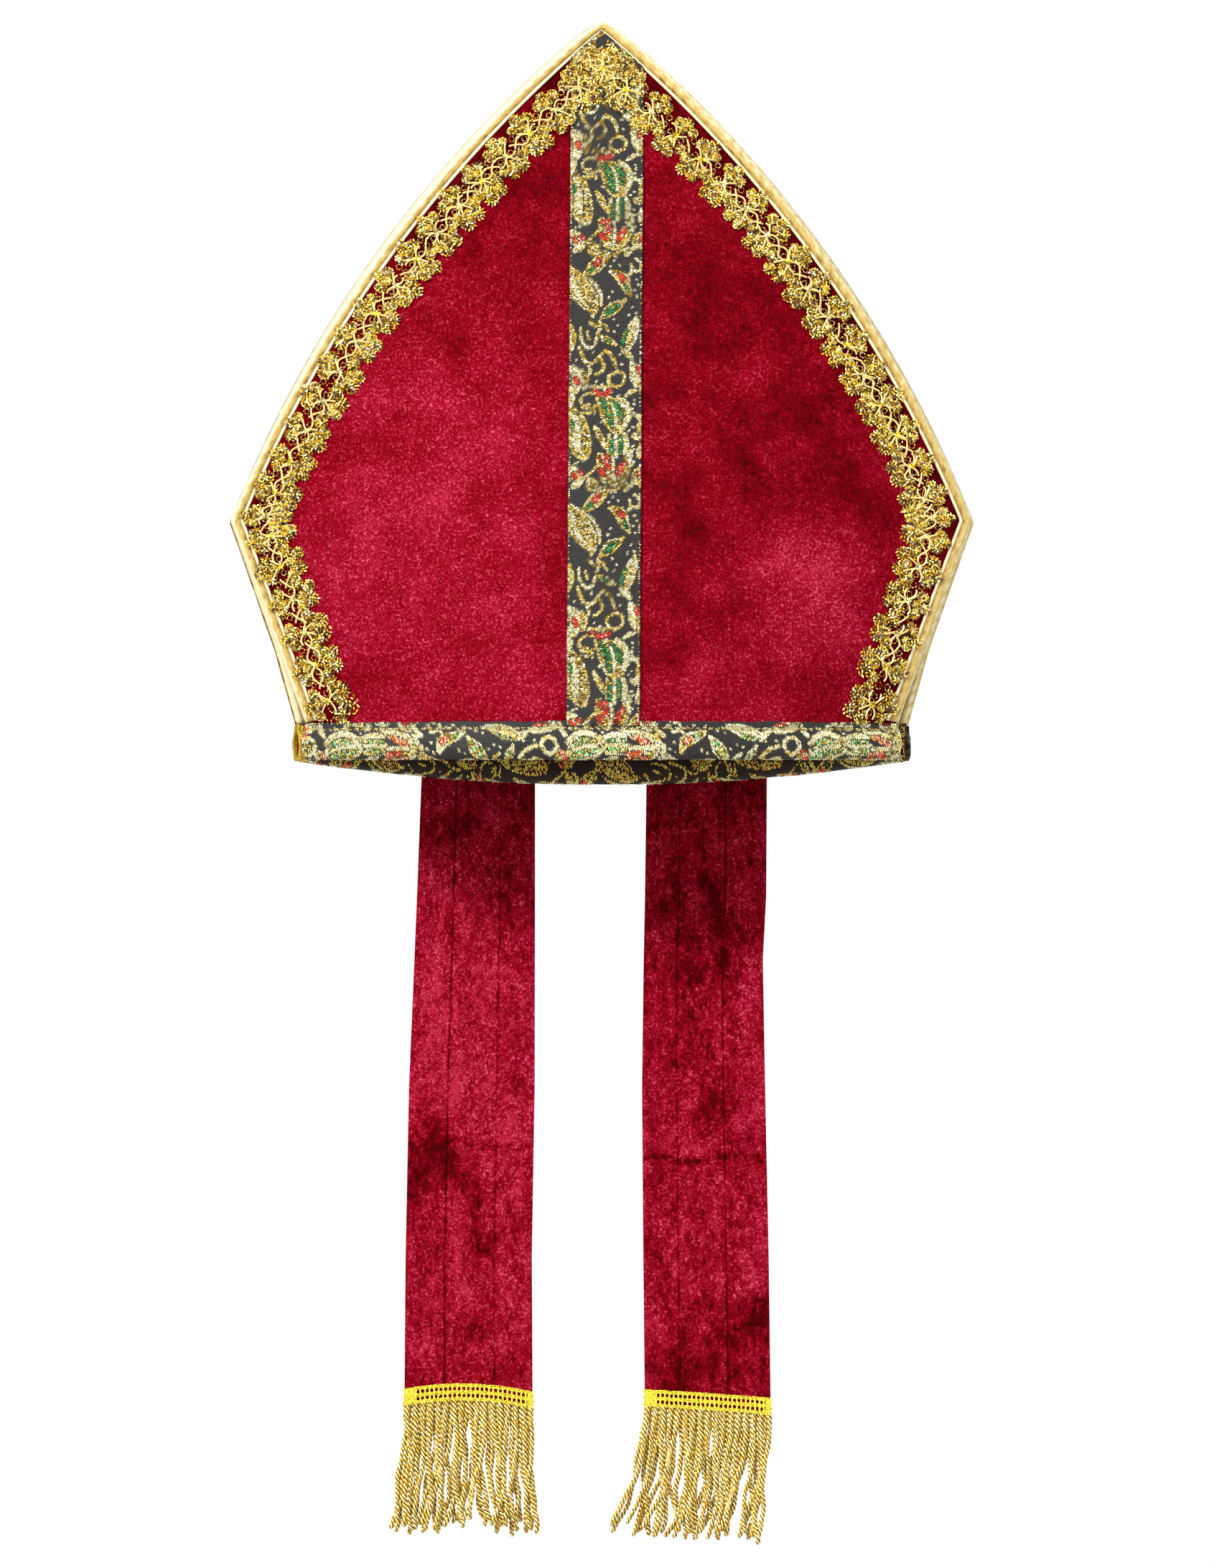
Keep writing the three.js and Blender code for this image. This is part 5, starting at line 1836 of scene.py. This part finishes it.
# %% [markdown]
# ## The bullion fringe
#
# Bullion fringe is made by twisting a cord hard and letting it double back on itself, so
# every strand is a few plies wound round each other, with a loop at the foot. Each ply
# could be its own tube. Here a strand is one tube whose ring has three grooves and turns
# as it goes down, which looks the same from outside. The strands hang in three layers,
# lean together in clumps and splay at the foot.

# %% Twisted strands
FRINGE_HEAD_DOWN = 6.7
TWIST_PITCH = 6.9
STRAND_RADIUS = 1.24
PLIES = 3
PLY_OUTLINE = [0.46, 0.88, 1.0, 0.88]
PLY_SHADE = [0.0, 0.45, 1.5, 0.85]
STRANDS = 50
STRAND_POINTS = 84
STRAND_LENGTHS = (55.0, 62.5)
LAYERS = np.array([0.0, -1.9, 1.9])


def strand_lines(lappet, foot_edges, fan, count, seed):
    """Middle lines of the strands, (strands, points, 3): head on the tape, foot in a clump.

    x goes from head to foot with the fraction's power 1.6, plus slow waves that grow. The
    strands lie in three layers, which cross because each strand's foot strays on its own.
    A fan below 1 spreads the feet on the left and gathers those on the right."""
    random = np.random.default_rng(seed)
    places = (np.arange(count) + 0.5) / count
    head = header_place(lappet, places, FRINGE_HEAD_DOWN, 0.0)
    foot = foot_edges[0] + (foot_edges[1] - foot_edges[0]) * places**fan
    clumps = np.sort(random.uniform(foot_edges[0] + 1, foot_edges[1] - 1, count // 3))
    nearest = clumps[np.argmin(np.abs(foot[:, None] - clumps), axis=1)]
    foot = foot + 0.3 * (nearest - foot) + random.normal(0, 5.0, count)
    foot = np.clip(foot, foot_edges[0], foot_edges[1])
    length = random.uniform(*STRAND_LENGTHS, count)
    t = np.linspace(0, 1, STRAND_POINTS)[None, :]
    wave = random.uniform(0, 2 * np.pi, (4, count, 1))
    swing = 1.7 * np.sin(2.6 * np.pi * t + wave[0]) * t**0.8
    swing = swing + 0.3 * np.sin(8 * np.pi * t + wave[1]) * np.sqrt(t)
    x = head[:, None, 0] + (foot - head[:, 0])[:, None] * t**1.6 + swing
    layer = LAYERS[np.arange(count) % len(LAYERS)][:, None]
    y = head[:, None, 1] - 0.5 + layer * (0.4 + 0.6 * t) + 0.5 * np.sin(2.5 * np.pi * t + wave[2]) * t
    z = head[:, None, 2] - length[:, None] * t
    return together(x, y, z)


def make_fringe(name, node, lappet, foot_edges, fan, seed):
    """Each strand: a tube whose ring has a groove between every two plies, and winds.

    A ring's corner is at the strand's radius times the ply's outline, four corners to a
    ply, and the ring turns once for each pitch travelled. Grooves are painted dark as
    shade, and each ply's crown pale as a highlight."""
    lines = strand_lines(lappet, foot_edges, fan, STRANDS, seed)
    random = np.random.default_rng(seed + 1)
    steps = np.linalg.norm(np.diff(lines, axis=1), axis=-1)
    travel = np.concatenate([np.zeros((STRANDS, 1)), np.cumsum(steps, axis=1)], axis=1)
    turn = 2 * np.pi * travel / TWIST_PITCH + random.uniform(0, 2 * np.pi, (STRANDS, 1))
    thin = random.uniform(0.85, 1.1, (STRANDS, 1)) * np.clip((travel[:, -1:] - travel) / 1.6 + 0.45, 0.45, 1)
    radius = STRAND_RADIUS * thin[..., None] * np.tile(PLY_OUTLINE, PLIES)
    points, faces = tubes(lines, radius, [0.0, 1.0, 0.0], sides=4 * PLIES, turn=turn)
    glint = np.exp(0.85 * ripples(points, 1.3, seed + 2, count=30)).reshape(radius.shape)
    bright = random.uniform(0.92, 1.18, (STRANDS, 1, 1)) * np.tile(PLY_SHADE, PLIES) * glint
    colour = np.array(tint(248, 194, 30)[:3]) * bright.reshape(-1, 1)
    whiter = np.clip(bright.reshape(-1, 1) - 0.95, 0, 0.6) * 1.2
    values = {"thread": glinted(colour, whiter)}
    return make_piece(name, points, faces, BULLION_THREAD, [node], values)


BULLION_THREAD = metal_thread_material("bullion thread", 0.38, 0.35, 0.45)
left_fringe = make_fringe("left_bullion", "left_fringe", LEFT_LAPPET, (-98.5, -31.0), 1.0, 101)
right_fringe = make_fringe("right_bullion", "right_fringe", RIGHT_LAPPET, (4.5, 72.0), 0.75, 102)
